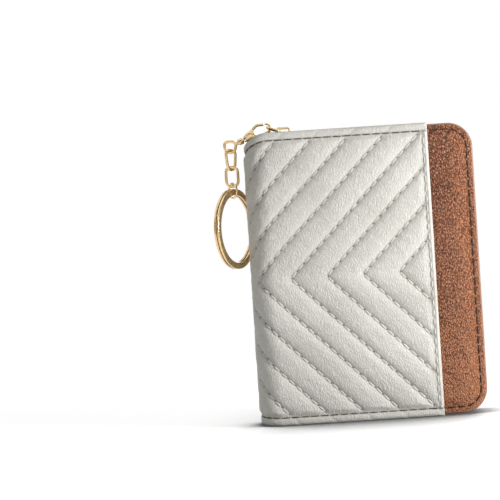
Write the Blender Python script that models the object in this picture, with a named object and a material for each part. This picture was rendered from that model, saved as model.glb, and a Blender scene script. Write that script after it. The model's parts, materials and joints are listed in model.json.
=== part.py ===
# Zip-around card wallet with a quilted wrap, an accordion of card leaves and a key ring on a short chain.
#
# Metres, +Z up. The wallet stands on one short end. Its spine faces -X, its zipped opening faces +X and its
# front cover faces -Y. The origin is under the middle of the bounding box, on the surface it stands on.
# Lengths below are measured in a wallet frame whose x is zero on the spine's outer face. SPINE_X moves it.

import math

import bmesh
import bpy
import numpy as np
from mathutils import Vector

# Overall size of the closed wallet
WALLET_WIDTH = 0.084
WALLET_HEIGHT = 0.108
WALLET_THICKNESS = 0.024

CLEARANCE = 0.0003

# Spine: a leather C with rounded edges, whose ends sink a little between the covers
SPINE_RADIUS = 0.0085
HINGE_SETBACK = 0.009
SPINE_TOP_DIP = 0.0045
SPINE_BOTTOM_RISE = 0.0008
SPINE_LAYER_INSET = 0.0006

# Quilted white wrap
QUILT_THICKNESS = 0.0018
QUILT_PUFF = 0.0006
QUILT_EDGE_PUFF = 0.0003
STRIP_WIDTH = 0.0164
QUILT_EDGE_SEAM = 0.0017
CHEVRON_PERIOD = 0.0133
CHEVRON_START = 0.00985
CELLS_PER_CHEVRON = 4
QUILT_ROWS = 32
PUFF_POWER = 0.6

# Tan shell under the wrap
PANEL_THICKNESS = 0.0012
PANEL_EDGE_INSET = 0.0006
CORNER_RADIUS = 0.009
CORNER_STEPS = 6

# Black lining and slip pockets
LINING_THICKNESS = 0.0006
SLIP_THICKNESS = 0.0005
SLIP_GAP = 0.0009
SLIP_START = 0.011
SLIP_SETBACK = 0.026
SLIP_RIM = 0.0015
SLIP_END_INSET = 0.006

# Zip band, tape and teeth, each inset from the shell's edge
BAND_INSET = 0.001
BAND_THICKNESS = 0.0009
BAND_START = 0.011
BAND_OPEN_EDGE = 0.0050
TAPE_THICKNESS = 0.00045
TAPE_OVERLAP = 0.0025
TAPE_START = 0.0135
CORD_BACK = 0.0036
CORD_FRONT = 0.0026
TOOTH_REACH = 0.0008
TOOTH_HEIGHT = 0.0024
TOOTH_WIDTH = 0.0012
TOOTH_PITCH = 0.003
TEETH_START = 0.0155

# Accordion of card leaves
LEAVES_PER_SIDE = 5
LEAF_PITCH = 0.0013
LEAF_THICKNESS = 0.0005
LEAF_SETBACK = 0.015
LEAF_END_INSET = 0.0065
POCKET_BASE_THICKNESS = 0.0008
GUSSET_THICKNESS = 0.0003
PLEAT_DEPTH = 0.006

# Slider on the top run of teeth
SLIDER_X = 0.016
SLIDER_LENGTH = 0.0084
SLIDER_SHOULDER = 0.0036
SLIDER_NOSE = 0.0022
SLIDER_PLATE = 0.0011
BRIDGE_FRONT = 0.0020
BRIDGE_WALL = 0.0008
BRIDGE_WIDTH = 0.0016

# Bail: a wire loop under the bridge that leans back towards the spine
BAIL_WIRE = 0.001
BAIL_LENGTH = 0.0049
BAIL_HALF_WIDTH = 0.0022
BAIL_BEND = 0.0009
BAIL_TILT = math.radians(21)

# Lobster clasp on the bail, lying over the spine's top corner
CLASP_TILT = math.radians(24)
CLASP_THICKNESS = 0.0018
HOOK_INNER_RADIUS = 0.0011
HOOK_WALL = 0.0009
HOOK_TIP_ANGLE = math.radians(62)
GATE_PIVOT_U = 0.0057
GATE_KNOB_U = 0.0030
GATE_KNOB_WIDTH = 0.0011
GATE_KNOB_HEIGHT = 0.0011
CLASP_BODY_U = 0.0064
CLASP_TAIL_U = 0.0098
CLASP_TAIL_HALF = 0.0011
SWIVEL_RADIUS = 0.0012
SWIVEL_LENGTH = 0.0022
SWIVEL_STEM_RADIUS = 0.0006

# Chain and rings hanging beside the spine
CHAIN_SETBACK = 0.0048
CHAIN_WIRE = 0.0009
EYE_DIAMETER = 0.005
LINK_WIDTH = 0.0053
LINK_1_HEIGHT = 0.0086
LINK_2_HEIGHT = 0.0082
LINK_1_TURN = math.radians(62)
LINK_2_TURN = math.radians(0)
JUMP_WIRE = 0.0008
JUMP_DIAMETER = 0.0063
JUMP_TURN = math.radians(122)
KEY_RING_DIAMETER = 0.030
KEY_RING_BAND = 0.0025
KEY_RING_STRIP = 0.00085
KEY_RING_TURN_GAP = 0.00045
KEY_RING_TURN = math.radians(62)
KEY_RING_JOG = math.radians(40)
KEY_RING_TIP_GAP = math.radians(4)

# Facets
WIRE_SIDES = 8
RING_STEPS = 16
BEND_STEPS = 4
KEY_RING_STEP = math.radians(12)
SHARP_ANGLE = math.radians(35)
FLAT_ANGLE = math.radians(0.2)

# Sizes that follow from the ones above
HALF_THICKNESS = WALLET_THICKNESS / 2
SPINE_FLAT = HALF_THICKNESS - SPINE_RADIUS
ARC_LENGTH = SPINE_RADIUS * math.pi / 2
COVER_START = HINGE_SETBACK + CLEARANCE
QUILT_WIDTH = WALLET_WIDTH - STRIP_WIDTH
SLIP_END = WALLET_WIDTH - SLIP_SETBACK
LEAF_END = WALLET_WIDTH - LEAF_SETBACK
PANEL_OUTER = HALF_THICKNESS - QUILT_THICKNESS - CLEARANCE
PANEL_INNER = PANEL_OUTER - PANEL_THICKNESS
LINING_OUTER = PANEL_INNER - CLEARANCE
LINING_INNER = LINING_OUTER - LINING_THICKNESS
PANEL_BOTTOM = PANEL_EDGE_INSET
PANEL_TOP = WALLET_HEIGHT - PANEL_EDGE_INSET
TAPE_INSET = BAND_INSET + BAND_THICKNESS + CLEARANCE
TEETH_INSET = TAPE_INSET + TAPE_THICKNESS / 2
TEETH_OUTER_Z = PANEL_TOP - TEETH_INSET + TOOTH_HEIGHT / 2
TEETH_INNER_Z = PANEL_TOP - TEETH_INSET - TOOTH_HEIGHT / 2
LEAF_BOTTOM = LEAF_END_INSET
LEAF_TOP = WALLET_HEIGHT - LEAF_END_INSET
LEAF_HALF_STACK = (LEAVES_PER_SIDE - 0.5) * LEAF_PITCH + LEAF_THICKNESS / 2
SLIDER_TOP_Z = TEETH_OUTER_Z + CLEARANCE + SLIDER_PLATE
BAIL_PIVOT = Vector((SLIDER_X - BRIDGE_FRONT, 0, SLIDER_TOP_Z + CLEARANCE + BAIL_WIRE / 2))
BAIL_DIRECTION = Vector((-math.cos(BAIL_TILT), 0, math.sin(BAIL_TILT)))
BAIL_END = BAIL_PIVOT + BAIL_LENGTH * BAIL_DIRECTION
CLASP_AXIS = Vector((-math.cos(CLASP_TILT), 0, -math.sin(CLASP_TILT)))
CLASP_UP = Vector((-math.sin(CLASP_TILT), 0, math.cos(CLASP_TILT)))
HOOK_CENTRE_U = HOOK_INNER_RADIUS - BAIL_WIRE / 2 - CLEARANCE
HOOK_OUTER_RADIUS = HOOK_INNER_RADIUS + HOOK_WALL
GATE_PIVOT_V = HOOK_INNER_RADIUS + HOOK_WALL / 2
EYE_U = (BAIL_END.x + CHAIN_SETBACK) / math.cos(CLASP_TILT)
EYE_CENTRE = BAIL_END + EYE_U * CLASP_AXIS
EYE_RADIUS = (EYE_DIAMETER - CHAIN_WIRE) / 2
LINK_SEAT = CHAIN_WIRE + CLEARANCE
EYE_BOTTOM_Z = EYE_CENTRE.z - EYE_RADIUS
LINK_1_TOP_Z = EYE_BOTTOM_Z + LINK_SEAT
LINK_1_BOTTOM_Z = LINK_1_TOP_Z - (LINK_1_HEIGHT - CHAIN_WIRE)
LINK_2_TOP_Z = LINK_1_BOTTOM_Z + LINK_SEAT
LINK_2_BOTTOM_Z = LINK_2_TOP_Z - (LINK_2_HEIGHT - CHAIN_WIRE)
JUMP_RADIUS = (JUMP_DIAMETER - JUMP_WIRE) / 2
JUMP_Z = LINK_2_BOTTOM_Z + (CHAIN_WIRE + JUMP_WIRE) / 2 + CLEARANCE - JUMP_RADIUS
KEY_RING_RADIUS = (KEY_RING_DIAMETER - KEY_RING_BAND) / 2
KEY_RING_SEAT_Z = LINK_2_BOTTOM_Z - CHAIN_WIRE / 2 - CLEARANCE - KEY_RING_BAND / 2
KEY_RING_Z = KEY_RING_SEAT_Z - KEY_RING_RADIUS
KEY_RING_HALF_DEPTH = KEY_RING_STRIP + KEY_RING_TURN_GAP / 2
RING_OVERHANG = (
    CHAIN_SETBACK
    + KEY_RING_DIAMETER / 2 * math.cos(KEY_RING_TURN)
    + KEY_RING_HALF_DEPTH * math.sin(KEY_RING_TURN)
)
SPINE_X = (RING_OVERHANG - WALLET_WIDTH) / 2
HINGE_POINTS = {side: Vector((HINGE_SETBACK, side * HALF_THICKNESS, 0)) for side in (-1, 1)}

COLOURS = {
    "white_leather": ((0.67, 0.65, 0.60, 1), 0.55, 0),
    "tan_leather": ((0.36, 0.14, 0.06, 1), 0.45, 0),
    "black_fabric": ((0.012, 0.011, 0.011, 1), 0.8, 0),
    "gold_metal": ((0.80, 0.56, 0.28, 1), 0.25, 1),
}


def clear_scene():
    for old in list(bpy.data.objects):
        bpy.data.objects.remove(old, do_unlink=True)


def make_material(node, kind):
    colour, roughness, metallic = COLOURS[kind]
    material = bpy.data.materials.new(node)
    material.use_nodes = True
    shader = material.node_tree.nodes["Principled BSDF"]
    shader.inputs["Base Color"].default_value = colour
    shader.inputs["Roughness"].default_value = roughness
    shader.inputs["Metallic"].default_value = metallic
    return material


def add_object(name, bm, kind, joint_point=Vector((0, 0, 0)), smooth=True):
    """Store a closed mesh drawn in the wallet frame as an object whose origin is on its joint's axis."""
    bmesh.ops.recalc_face_normals(bm, faces=bm.faces)
    bmesh.ops.translate(bm, verts=bm.verts, vec=-joint_point)
    mesh = bpy.data.meshes.new(name)
    bm.to_mesh(mesh)
    bm.free()
    if smooth:
        mesh.shade_smooth()
        mesh.set_sharp_from_angle(angle=SHARP_ANGLE)
    mesh.materials.append(make_material(name, kind))
    obj = bpy.data.objects.new(name, mesh)
    obj.location = joint_point + Vector((SPINE_X, 0, 0))
    bpy.context.collection.objects.link(obj)
    return obj


def fuse(obj, tool):
    """Join a second closed shape to an object with a Boolean union and hide the tool."""
    union = obj.modifiers.new("union_" + tool.name, "BOOLEAN")
    union.operation = "UNION"
    union.solver = "EXACT"
    union.object = tool
    tool.hide_render = True
    tool.display_type = "WIRE"


def loft(loops, cyclic=False):
    """Skin equal loops of points. An open run of loops gets a flat cap at each end."""
    bm = bmesh.new()
    rings = [[bm.verts.new(point) for point in loop] for loop in loops]
    count = len(rings[0])
    pairs = zip(rings, rings[1:] + rings[:1]) if cyclic else zip(rings, rings[1:])
    for here, there in pairs:
        for i in range(count):
            j = (i + 1) % count
            bm.faces.new((here[i], here[j], there[j], there[i]))
    if not cyclic:
        bm.faces.new(rings[0])
        bm.faces.new(rings[-1])
    return bm


def upright_slab(outline, y_low, y_high):
    """Extrude an outline of x and z points through a stretch of y."""
    return loft([[(x, y, z) for x, z in outline] for y in (y_low, y_high)])


def flat_slab(outline, z_low, z_high):
    """Extrude an outline of x and y points through a stretch of z."""
    return loft([[(x, y, z) for x, y in outline] for z in (z_low, z_high)])


def box(low, high):
    outline = [(low[0], low[1]), (high[0], low[1]), (high[0], high[1]), (low[0], high[1])]
    return flat_slab(outline, low[2], high[2])


def wire_loop(centre_line, normal, diameter):
    """Sweep a round wire along a closed, flat centre line whose plane has the given normal."""
    loops = []
    count = len(centre_line)
    for i, point in enumerate(centre_line):
        ahead = (centre_line[(i + 1) % count] - centre_line[i - 1]).normalized()
        across = ahead.cross(normal).normalized()
        turns = [2 * math.pi * k / WIRE_SIDES for k in range(WIRE_SIDES)]
        loops.append(
            [point + diameter / 2 * (math.cos(t) * across + math.sin(t) * normal) for t in turns]
        )
    return loft(loops, cyclic=True)


def turned_direction(turn):
    """The level direction of a hanging link's plane, turned about the vertical from +X."""
    return Vector((math.cos(turn), math.sin(turn), 0))


def hanging_loop(centre, half_width, half_height, turn, diameter):
    """A wire loop with round ends in an upright plane. Equal halves make a ring."""
    along = turned_direction(turn)
    up = Vector((0, 0, 1))
    straight = half_height - half_width
    points = []
    for k in range(RING_STEPS):
        angle = 2 * math.pi * (k + 0.5) / RING_STEPS
        lift = straight if math.sin(angle) > 0 else -straight
        points.append(
            centre + half_width * math.cos(angle) * along + (half_width * math.sin(angle) + lift) * up
        )
    return wire_loop(points, along.cross(up), diameter)


def wrap_point(s, depth):
    """A point of the wrap's cross-section: s runs round the spine from its middle, front positive.

    Flat spine face, then a quarter round, then the flat cover. depth is measured inwards."""
    side = -1 if s > 0 else 1
    run = abs(s)
    if run <= SPINE_FLAT:
        return depth, side * run
    if run <= SPINE_FLAT + ARC_LENGTH:
        angle = (run - SPINE_FLAT) / SPINE_RADIUS
        reach = SPINE_RADIUS - depth
        return SPINE_RADIUS - reach * math.cos(angle), side * (SPINE_FLAT + reach * math.sin(angle))
    return SPINE_RADIUS + run - SPINE_FLAT - ARC_LENGTH, side * (HALF_THICKNESS - depth)


def wrap_distance(x):
    """How far round the wrap a place on a flat cover lies, from its distance to the spine's face."""
    return SPINE_FLAT + ARC_LENGTH + x - SPINE_RADIUS


def quilt_depth(s, row, edge_s):
    """Depth of the quilt's face: zero on a crown, QUILT_PUFF along a stitched channel.

    Channels are where s minus the height above or below mid-height is a whole number of periods."""
    if edge_s is not None and abs(s) >= abs(edge_s):
        return QUILT_PUFF - QUILT_EDGE_PUFF
    if row in (0, QUILT_ROWS):
        return QUILT_PUFF - QUILT_EDGE_PUFF
    seam = edge_s is not None and abs(abs(edge_s) - abs(s) - QUILT_EDGE_SEAM) < QUILT_EDGE_SEAM / 10
    if seam or row in (1, QUILT_ROWS - 1):
        return QUILT_PUFF
    cell = CHEVRON_PERIOD / CELLS_PER_CHEVRON
    rise = abs(row - QUILT_ROWS / 2) * cell
    phase = ((s - CHEVRON_START - rise) / CHEVRON_PERIOD) % 1
    return QUILT_PUFF * (1 - math.sin(math.pi * phase) ** PUFF_POWER)


def quilt_columns(s_low, s_high, edge_s):
    """Grid columns on the chevrons' cells, with the piece's own two ends and its edge seam."""
    cell = CHEVRON_PERIOD / CELLS_PER_CHEVRON
    first = math.ceil((s_low - CHEVRON_START) / cell)
    last = math.floor((s_high - CHEVRON_START) / cell)
    ends = [s_low, s_high]
    if edge_s is not None:
        ends.append(edge_s - math.copysign(QUILT_EDGE_SEAM, edge_s))
    inner = [CHEVRON_START + k * cell for k in range(first, last + 1)]
    kept = [s for s in inner if all(abs(s - end) > cell / 4 for end in ends)]
    return sorted(kept + ends)


def row_height(row, s):
    """Height of a grid row, with the spine's sunk ends."""
    dip = 0.0
    rise = 0.0
    turn = wrap_distance(HINGE_SETBACK)
    if abs(s) < turn:
        share = (1 + math.cos(math.pi * s / turn)) / 2
        dip = SPINE_TOP_DIP * share
        rise = SPINE_BOTTOM_RISE * share
    return rise + (WALLET_HEIGHT - dip - rise) * row / QUILT_ROWS


def quilt_mesh(s_low, s_high, edge_s=None):
    """A closed quilted sheet: a height field outside, split along its channels, and a plain inside."""
    columns = quilt_columns(s_low, s_high, edge_s)
    bm = bmesh.new()
    outer = []
    for s in columns:
        line = []
        for row in range(QUILT_ROWS + 1):
            x, y = wrap_point(s, quilt_depth(s, row, edge_s))
            line.append(bm.verts.new((x, y, row_height(row, s))))
        outer.append(line)
    flat = abs(s_low) >= SPINE_FLAT + ARC_LENGTH and s_low * s_high > 0
    inner = []
    for k, s in enumerate(columns):
        if flat and 0 < k < len(columns) - 1:
            continue
        x, y = wrap_point(s, QUILT_THICKNESS)
        inner.append([bm.verts.new((x, y, row_height(row, s))) for row in (0, QUILT_ROWS)])
    for k in range(len(columns) - 1):
        for row in range(QUILT_ROWS):
            a, b = outer[k][row], outer[k + 1][row]
            c, d = outer[k + 1][row + 1], outer[k][row + 1]
            if row >= QUILT_ROWS / 2:
                bm.faces.new((a, b, c))
                bm.faces.new((a, c, d))
            else:
                bm.faces.new((a, b, d))
                bm.faces.new((b, c, d))
    for end in (0, -1):
        bm.faces.new(outer[end] + [inner[end][1], inner[end][0]])
    for near, far in zip(inner, inner[1:]):
        bm.faces.new((near[0], far[0], far[1], near[1]))
    if flat:
        for row, end in ((0, 0), (QUILT_ROWS, 1)):
            bm.faces.new([line[row] for line in outer] + [inner[-1][end], inner[0][end]])
    else:
        for k in range(len(columns) - 1):
            for row, end in ((0, 0), (QUILT_ROWS, 1)):
                bm.faces.new((outer[k][row], outer[k + 1][row], inner[k + 1][end], inner[k][end]))
    return bm


def c_section(depth, thickness, z_low, z_high):
    """One plain layer of the spine: the wrap's cross-section at a depth, extruded upwards."""
    turn = wrap_distance(HINGE_SETBACK)
    steps = 4 * CORNER_STEPS
    places = [turn * (2 * k / steps - 1) for k in range(steps + 1)]
    outline = [wrap_point(s, depth) for s in places]
    outline += [wrap_point(s, depth + thickness) for s in reversed(places)]
    return flat_slab(outline, z_low, z_high)


def edge_path(inset, x_start):
    """The shell's edge, inset: along the top, round the two opening corners and back along the bottom."""
    radius = CORNER_RADIUS - inset
    centre_x = WALLET_WIDTH - CORNER_RADIUS
    points = [(x_start, PANEL_TOP - inset)]
    for centre_z, start in ((PANEL_TOP - CORNER_RADIUS, 90), (PANEL_BOTTOM + CORNER_RADIUS, 0)):
        for k in range(CORNER_STEPS + 1):
            angle = math.radians(start - 90 * k / CORNER_STEPS)
            points.append((centre_x + radius * math.cos(angle), centre_z + radius * math.sin(angle)))
    points.append((x_start, PANEL_BOTTOM + inset))
    return points


def edge_strip(inset, thickness, x_start, y_low, y_high):
    """A strip bent round the shell's edge on three sides."""
    outline = edge_path(inset, x_start) + edge_path(inset + thickness, x_start)[::-1]
    return upright_slab(outline, y_low, y_high)


def edge_station(inset, run, x_start):
    """The point and outward normal a given run along the inset edge, as x and z pairs."""
    radius = CORNER_RADIUS - inset
    centre_x = WALLET_WIDTH - CORNER_RADIUS
    top, bottom = PANEL_TOP - CORNER_RADIUS, PANEL_BOTTOM + CORNER_RADIUS
    straight, bend, side = centre_x - x_start, radius * math.pi / 2, top - bottom
    if run <= straight:
        return (x_start + run, PANEL_TOP - inset), (0, 1)
    run -= straight
    if run <= bend:
        angle = math.pi / 2 - run / radius
        normal = (math.cos(angle), math.sin(angle))
        return (centre_x + radius * normal[0], top + radius * normal[1]), normal
    run -= bend
    if run <= side:
        return (WALLET_WIDTH - inset, top - run), (1, 0)
    run -= side
    if run <= bend:
        angle = -run / radius
        normal = (math.cos(angle), math.sin(angle))
        return (centre_x + radius * normal[0], bottom + radius * normal[1]), normal
    return (centre_x - (run - bend), PANEL_BOTTOM + inset), (0, -1)


def teeth_mesh(side):
    """One row of teeth on its cord: a strip round the edge with square teeth past the middle plane.

    The back row starts half a pitch later, so that the two rows interlock."""
    straight = WALLET_WIDTH - CORNER_RADIUS - TEETH_START
    bend = (CORNER_RADIUS - TEETH_INSET) * math.pi / 2
    length = 2 * straight + 2 * bend + (PANEL_TOP - PANEL_BOTTOM - 2 * CORNER_RADIUS)
    lead = TOOTH_PITCH / 4 if side < 0 else TOOTH_PITCH * 3 / 4
    count = int((length - TOOTH_PITCH) / TOOTH_PITCH)
    stations, raised = [0.0], [False]
    for k in range(count):
        start = lead + k * TOOTH_PITCH
        stations += [start, start + TOOTH_WIDTH]
        raised += [True, False]
    stations.append(length)
    levels = (side * CORD_BACK, side * CORD_FRONT, -side * TOOTH_REACH)
    bm = bmesh.new()
    rows = []
    for k, run in enumerate(stations):
        (x, z), (nx, nz) = edge_station(TEETH_INSET, run, TEETH_START)
        plain_end = k in (0, len(stations) - 1)
        row = {}
        for face, sign in (("out", 1), ("in", -1)):
            px, pz = x + sign * nx * TOOTH_HEIGHT / 2, z + sign * nz * TOOTH_HEIGHT / 2
            used = levels[:2] if plain_end else levels
            row[face] = [bm.verts.new((px, y, pz)) for y in used]
        rows.append(row)
    for k, (a, b) in enumerate(zip(rows, rows[1:])):
        depth = 2 if raised[k] else 1
        for face in ("out", "in"):
            for level in range(depth):
                bm.faces.new((a[face][level], a[face][level + 1], b[face][level + 1], b[face][level]))
        bm.faces.new((a["out"][0], b["out"][0], b["in"][0], a["in"][0]))
        bm.faces.new((a["out"][depth], b["out"][depth], b["in"][depth], a["in"][depth]))
    for row in rows[1:-1]:
        bm.faces.new((row["out"][1], row["out"][2], row["in"][2], row["in"][1]))
    for row in (rows[0], rows[-1]):
        bm.faces.new((row["out"][0], row["out"][1], row["in"][1], row["in"][0]))
    bmesh.ops.recalc_face_normals(bm, faces=bm.faces)
    bmesh.ops.dissolve_limit(
        bm, angle_limit=FLAT_ANGLE, use_dissolve_boundaries=False, verts=bm.verts, edges=bm.edges
    )
    return bm


def add_spine():
    """The wrap's turn round the spine with the shell and lining under it."""
    turn = wrap_distance(HINGE_SETBACK)
    low = SPINE_BOTTOM_RISE + SPINE_LAYER_INSET
    high = WALLET_HEIGHT - SPINE_TOP_DIP - SPINE_LAYER_INSET
    shell_depth = QUILT_THICKNESS + CLEARANCE
    lining_depth = shell_depth + PANEL_THICKNESS + CLEARANCE
    add_object("spine_cover", quilt_mesh(-turn, turn), "white_leather")
    add_object("spine_panel", c_section(shell_depth, PANEL_THICKNESS, low, high), "tan_leather")
    add_object("spine_lining", c_section(lining_depth, LINING_THICKNESS, low, high), "black_fabric")
    return lining_depth + LINING_THICKNESS


def leaf_places():
    """The middle plane of each card leaf, front to back."""
    places = [(k + 0.5) * LEAF_PITCH for k in range(LEAVES_PER_SIDE)]
    return [-y for y in reversed(places)] + places


def add_pocket_base(lining_inside):
    """The folded root of the accordion: a strip seated on the lining with one rib behind each leaf."""
    depth = lining_inside + CLEARANCE
    angle = math.asin((LEAF_HALF_STACK - SPINE_FLAT) / (SPINE_RADIUS - depth))
    reach = SPINE_FLAT + SPINE_RADIUS * angle
    steps = 2 * CORNER_STEPS
    outline = [wrap_point(reach * (2 * k / steps - 1), depth) for k in range(steps + 1)]
    x_strip = outline[0][0] + POCKET_BASE_THICKNESS
    x_rib = HINGE_SETBACK - CLEARANCE
    for y in leaf_places():
        near, far = y - LEAF_THICKNESS / 2, y + LEAF_THICKNESS / 2
        outline += [(x_strip, near), (x_rib, near), (x_rib, far), (x_strip, far)]
    add_object("pocket_base", flat_slab(outline, LEAF_BOTTOM, LEAF_TOP), "black_fabric")


def add_leaves():
    """Ten thin walls of the card slots. Each half fans about the hinge of its own cover."""
    for number, y in enumerate(leaf_places(), start=1):
        side = -1 if y < 0 else 1
        low = (COVER_START, y - LEAF_THICKNESS / 2, LEAF_BOTTOM)
        high = (LEAF_END, y + LEAF_THICKNESS / 2, LEAF_TOP)
        add_object(f"pocket_leaf_{number:02d}", box(low, high), "black_fabric", HINGE_POINTS[side])


def add_gussets():
    """The accordion's two folded ends: a strip past the leaves with a pleat hanging into each slot."""
    for name, edge, sign in (("upper_gusset", LEAF_TOP, 1), ("lower_gusset", LEAF_BOTTOM, -1)):
        strip_near = edge + sign * CLEARANCE
        strip_far = strip_near + sign * GUSSET_THICKNESS
        tip = edge - sign * PLEAT_DEPTH
        reach = LEAF_HALF_STACK
        outline = [(reach, strip_far), (-reach, strip_far), (-reach, strip_near)]
        for k in range(1 - LEAVES_PER_SIDE, LEAVES_PER_SIDE):
            near, far = k * LEAF_PITCH - GUSSET_THICKNESS / 2, k * LEAF_PITCH + GUSSET_THICKNESS / 2
            outline += [(near, strip_near), (near, tip), (far, tip), (far, strip_near)]
        outline.append((reach, strip_near))
        bm = loft([[(x, y, z) for y, z in outline] for x in (COVER_START, LEAF_END)])
        add_object(name, bm, "black_fabric")


def slip_outline():
    """The slip pocket's rim on three sides, open towards the zip."""
    low, high = SLIP_END_INSET, WALLET_HEIGHT - SLIP_END_INSET
    rim_x, rim_low, rim_high = SLIP_START + SLIP_RIM, low + SLIP_RIM, high - SLIP_RIM
    return [
        (SLIP_END, low),
        (SLIP_START, low),
        (SLIP_START, high),
        (SLIP_END, high),
        (SLIP_END, rim_high),
        (rim_x, rim_high),
        (rim_x, rim_low),
        (SLIP_END, rim_low),
    ]


def add_slip_pocket(name, side, pivot):
    """A thin sheet sewn to the lining along a narrow rim, leaving a slot for one card."""
    rim_outer = LINING_INNER - CLEARANCE
    sheet_outer = LINING_INNER - SLIP_GAP
    sheet_inner = sheet_outer - SLIP_THICKNESS
    low = (SLIP_START, min(side * sheet_inner, side * sheet_outer), SLIP_END_INSET)
    high = (SLIP_END, max(side * sheet_inner, side * sheet_outer), WALLET_HEIGHT - SLIP_END_INSET)
    pocket = add_object(name, box(low, high), "black_fabric", pivot)
    rim_start = (sheet_inner + sheet_outer) / 2
    rim = upright_slab(slip_outline(), side * rim_start, side * rim_outer)
    fuse(pocket, add_object(name + "_rim", rim, "black_fabric", pivot))


def add_cover(label, side):
    """One cover: shell, quilted wrap, lining, slip pocket, and its half of the zip."""
    pivot = HINGE_POINTS[side]
    shell = [(COVER_START, PANEL_BOTTOM)] + edge_path(0, COVER_START)[:-1]
    add_object(
        label + "_panel", upright_slab(shell, side * PANEL_INNER, side * PANEL_OUTER), "tan_leather", pivot
    )
    s_start = -side * wrap_distance(COVER_START)
    s_edge = -side * wrap_distance(QUILT_WIDTH)
    wrap = quilt_mesh(min(s_start, s_edge), max(s_start, s_edge), s_edge)
    add_object(label + "_quilt", wrap, "white_leather", pivot)
    inset = TAPE_INSET
    lining = [(COVER_START, PANEL_BOTTOM + inset)] + edge_path(inset, COVER_START)[:-1]
    sheet = upright_slab(lining, side * LINING_INNER, side * LINING_OUTER)
    add_object(label + "_lining", sheet, "black_fabric", pivot)
    add_slip_pocket(label + "_slip_pocket", side, pivot)
    band = edge_strip(BAND_INSET, BAND_THICKNESS, BAND_START, side * BAND_OPEN_EDGE, side * LINING_OUTER)
    add_object(label + "_zip_band", band, "tan_leather", pivot)
    tape_open, tape_sewn = CORD_BACK + CLEARANCE, BAND_OPEN_EDGE + TAPE_OVERLAP
    tape = edge_strip(TAPE_INSET, TAPE_THICKNESS, TAPE_START, side * tape_open, side * tape_sewn)
    add_object(label + "_zip_tape", tape, "black_fabric", pivot)
    add_object(label + "_zip_teeth", teeth_mesh(side), "gold_metal", pivot, smooth=False)


def slider_outline():
    """A slider plate seen from outside: broad shoulders towards the spine and a narrower nose."""
    half = SLIDER_LENGTH / 2
    upper = [
        (SLIDER_X - half, SLIDER_NOSE),
        (SLIDER_X - half / 2, SLIDER_SHOULDER),
        (SLIDER_X, SLIDER_SHOULDER),
        (SLIDER_X + half, SLIDER_NOSE),
    ]
    return upper + [(x, -y) for x, y in reversed(upper)]


def add_slider():
    """The slider's two plates clasp the teeth from outside and inside. A bridge on top holds the bail."""
    pivot = Vector((SLIDER_X, 0, PANEL_TOP - TEETH_INSET))
    outer = flat_slab(slider_outline(), TEETH_OUTER_Z + CLEARANCE, SLIDER_TOP_Z)
    body = add_object("slider_body", outer, "gold_metal", pivot)
    bail_space = CLEARANCE + BAIL_WIRE / 2
    hole_low, hole_high = BAIL_PIVOT.x - bail_space, SLIDER_X + BRIDGE_FRONT - BRIDGE_WALL
    roof = BAIL_PIVOT.z + bail_space
    root = SLIDER_TOP_Z - SLIDER_PLATE / 2
    arch = [
        (hole_low - BRIDGE_WALL, root),
        (hole_low - BRIDGE_WALL, roof),
        (hole_low, roof + BRIDGE_WALL),
        (hole_high, roof + BRIDGE_WALL),
        (hole_high + BRIDGE_WALL, roof),
        (hole_high + BRIDGE_WALL, root),
        (hole_high, root),
        (hole_high, roof),
        (hole_low, roof),
        (hole_low, root),
    ]
    bridge = upright_slab(arch, -BRIDGE_WIDTH / 2, BRIDGE_WIDTH / 2)
    fuse(body, add_object("slider_bridge_tool", bridge, "gold_metal", pivot))
    inner_high = TEETH_INNER_Z - CLEARANCE
    inner = flat_slab(slider_outline(), inner_high - SLIDER_PLATE, inner_high)
    add_object("slider_inner_plate", inner, "gold_metal", pivot)


def add_bail():
    """A wire loop: one bar under the slider's bridge, two arms and the bar that the clasp holds."""
    corners = [(BAIL_BEND, 1, 180), (BAIL_LENGTH - BAIL_BEND, 1, 90)]
    corners += [(BAIL_LENGTH - BAIL_BEND, -1, 0), (BAIL_BEND, -1, -90)]
    across = Vector((0, 1, 0))
    points = []
    for u, sign, start in corners:
        centre = BAIL_PIVOT + u * BAIL_DIRECTION + sign * (BAIL_HALF_WIDTH - BAIL_BEND) * across
        for k in range(BEND_STEPS):
            angle = math.radians(start - 90 * k / (BEND_STEPS - 1))
            points.append(
                centre + BAIL_BEND * (math.cos(angle) * BAIL_DIRECTION + math.sin(angle) * across)
            )
    add_object(
        "slider_bail", wire_loop(points, BAIL_DIRECTION.cross(across), BAIL_WIRE), "gold_metal", BAIL_PIVOT
    )


def clasp_slab(outline, half_width):
    """Extrude an outline drawn along and across the clasp's axis, from the bail's bar."""
    points = [BAIL_END + u * CLASP_AXIS + v * CLASP_UP for u, v in outline]
    across = Vector((0, 1, 0))
    return loft([[point + side * half_width * across for point in points] for side in (-1, 1)])


def clasp_outline():
    """The clasp's body: a tapered shank, one arm and the hook's round end up to its tip."""
    arm_low, arm_high = -HOOK_OUTER_RADIUS, -HOOK_INNER_RADIUS
    outline = [
        (CLASP_TAIL_U, -CLASP_TAIL_HALF),
        (CLASP_TAIL_U, CLASP_TAIL_HALF),
        (CLASP_BODY_U, HOOK_OUTER_RADIUS),
        (CLASP_BODY_U, arm_high),
    ]
    hook_end = -math.pi / 2
    hook_tip = math.pi - HOOK_TIP_ANGLE
    count = 2 * CORNER_STEPS
    angles = [hook_end - (hook_end + 2 * math.pi - hook_tip) * k / count for k in range(count + 1)]
    inner = [HOOK_INNER_RADIUS * Vector((math.cos(a), math.sin(a))) for a in angles]
    outer = [HOOK_OUTER_RADIUS * Vector((math.cos(a), math.sin(a))) for a in reversed(angles)]
    outline += [(HOOK_CENTRE_U + p.x, p.y) for p in inner + outer]
    outline.append((CLASP_BODY_U, arm_low))
    return outline


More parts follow.
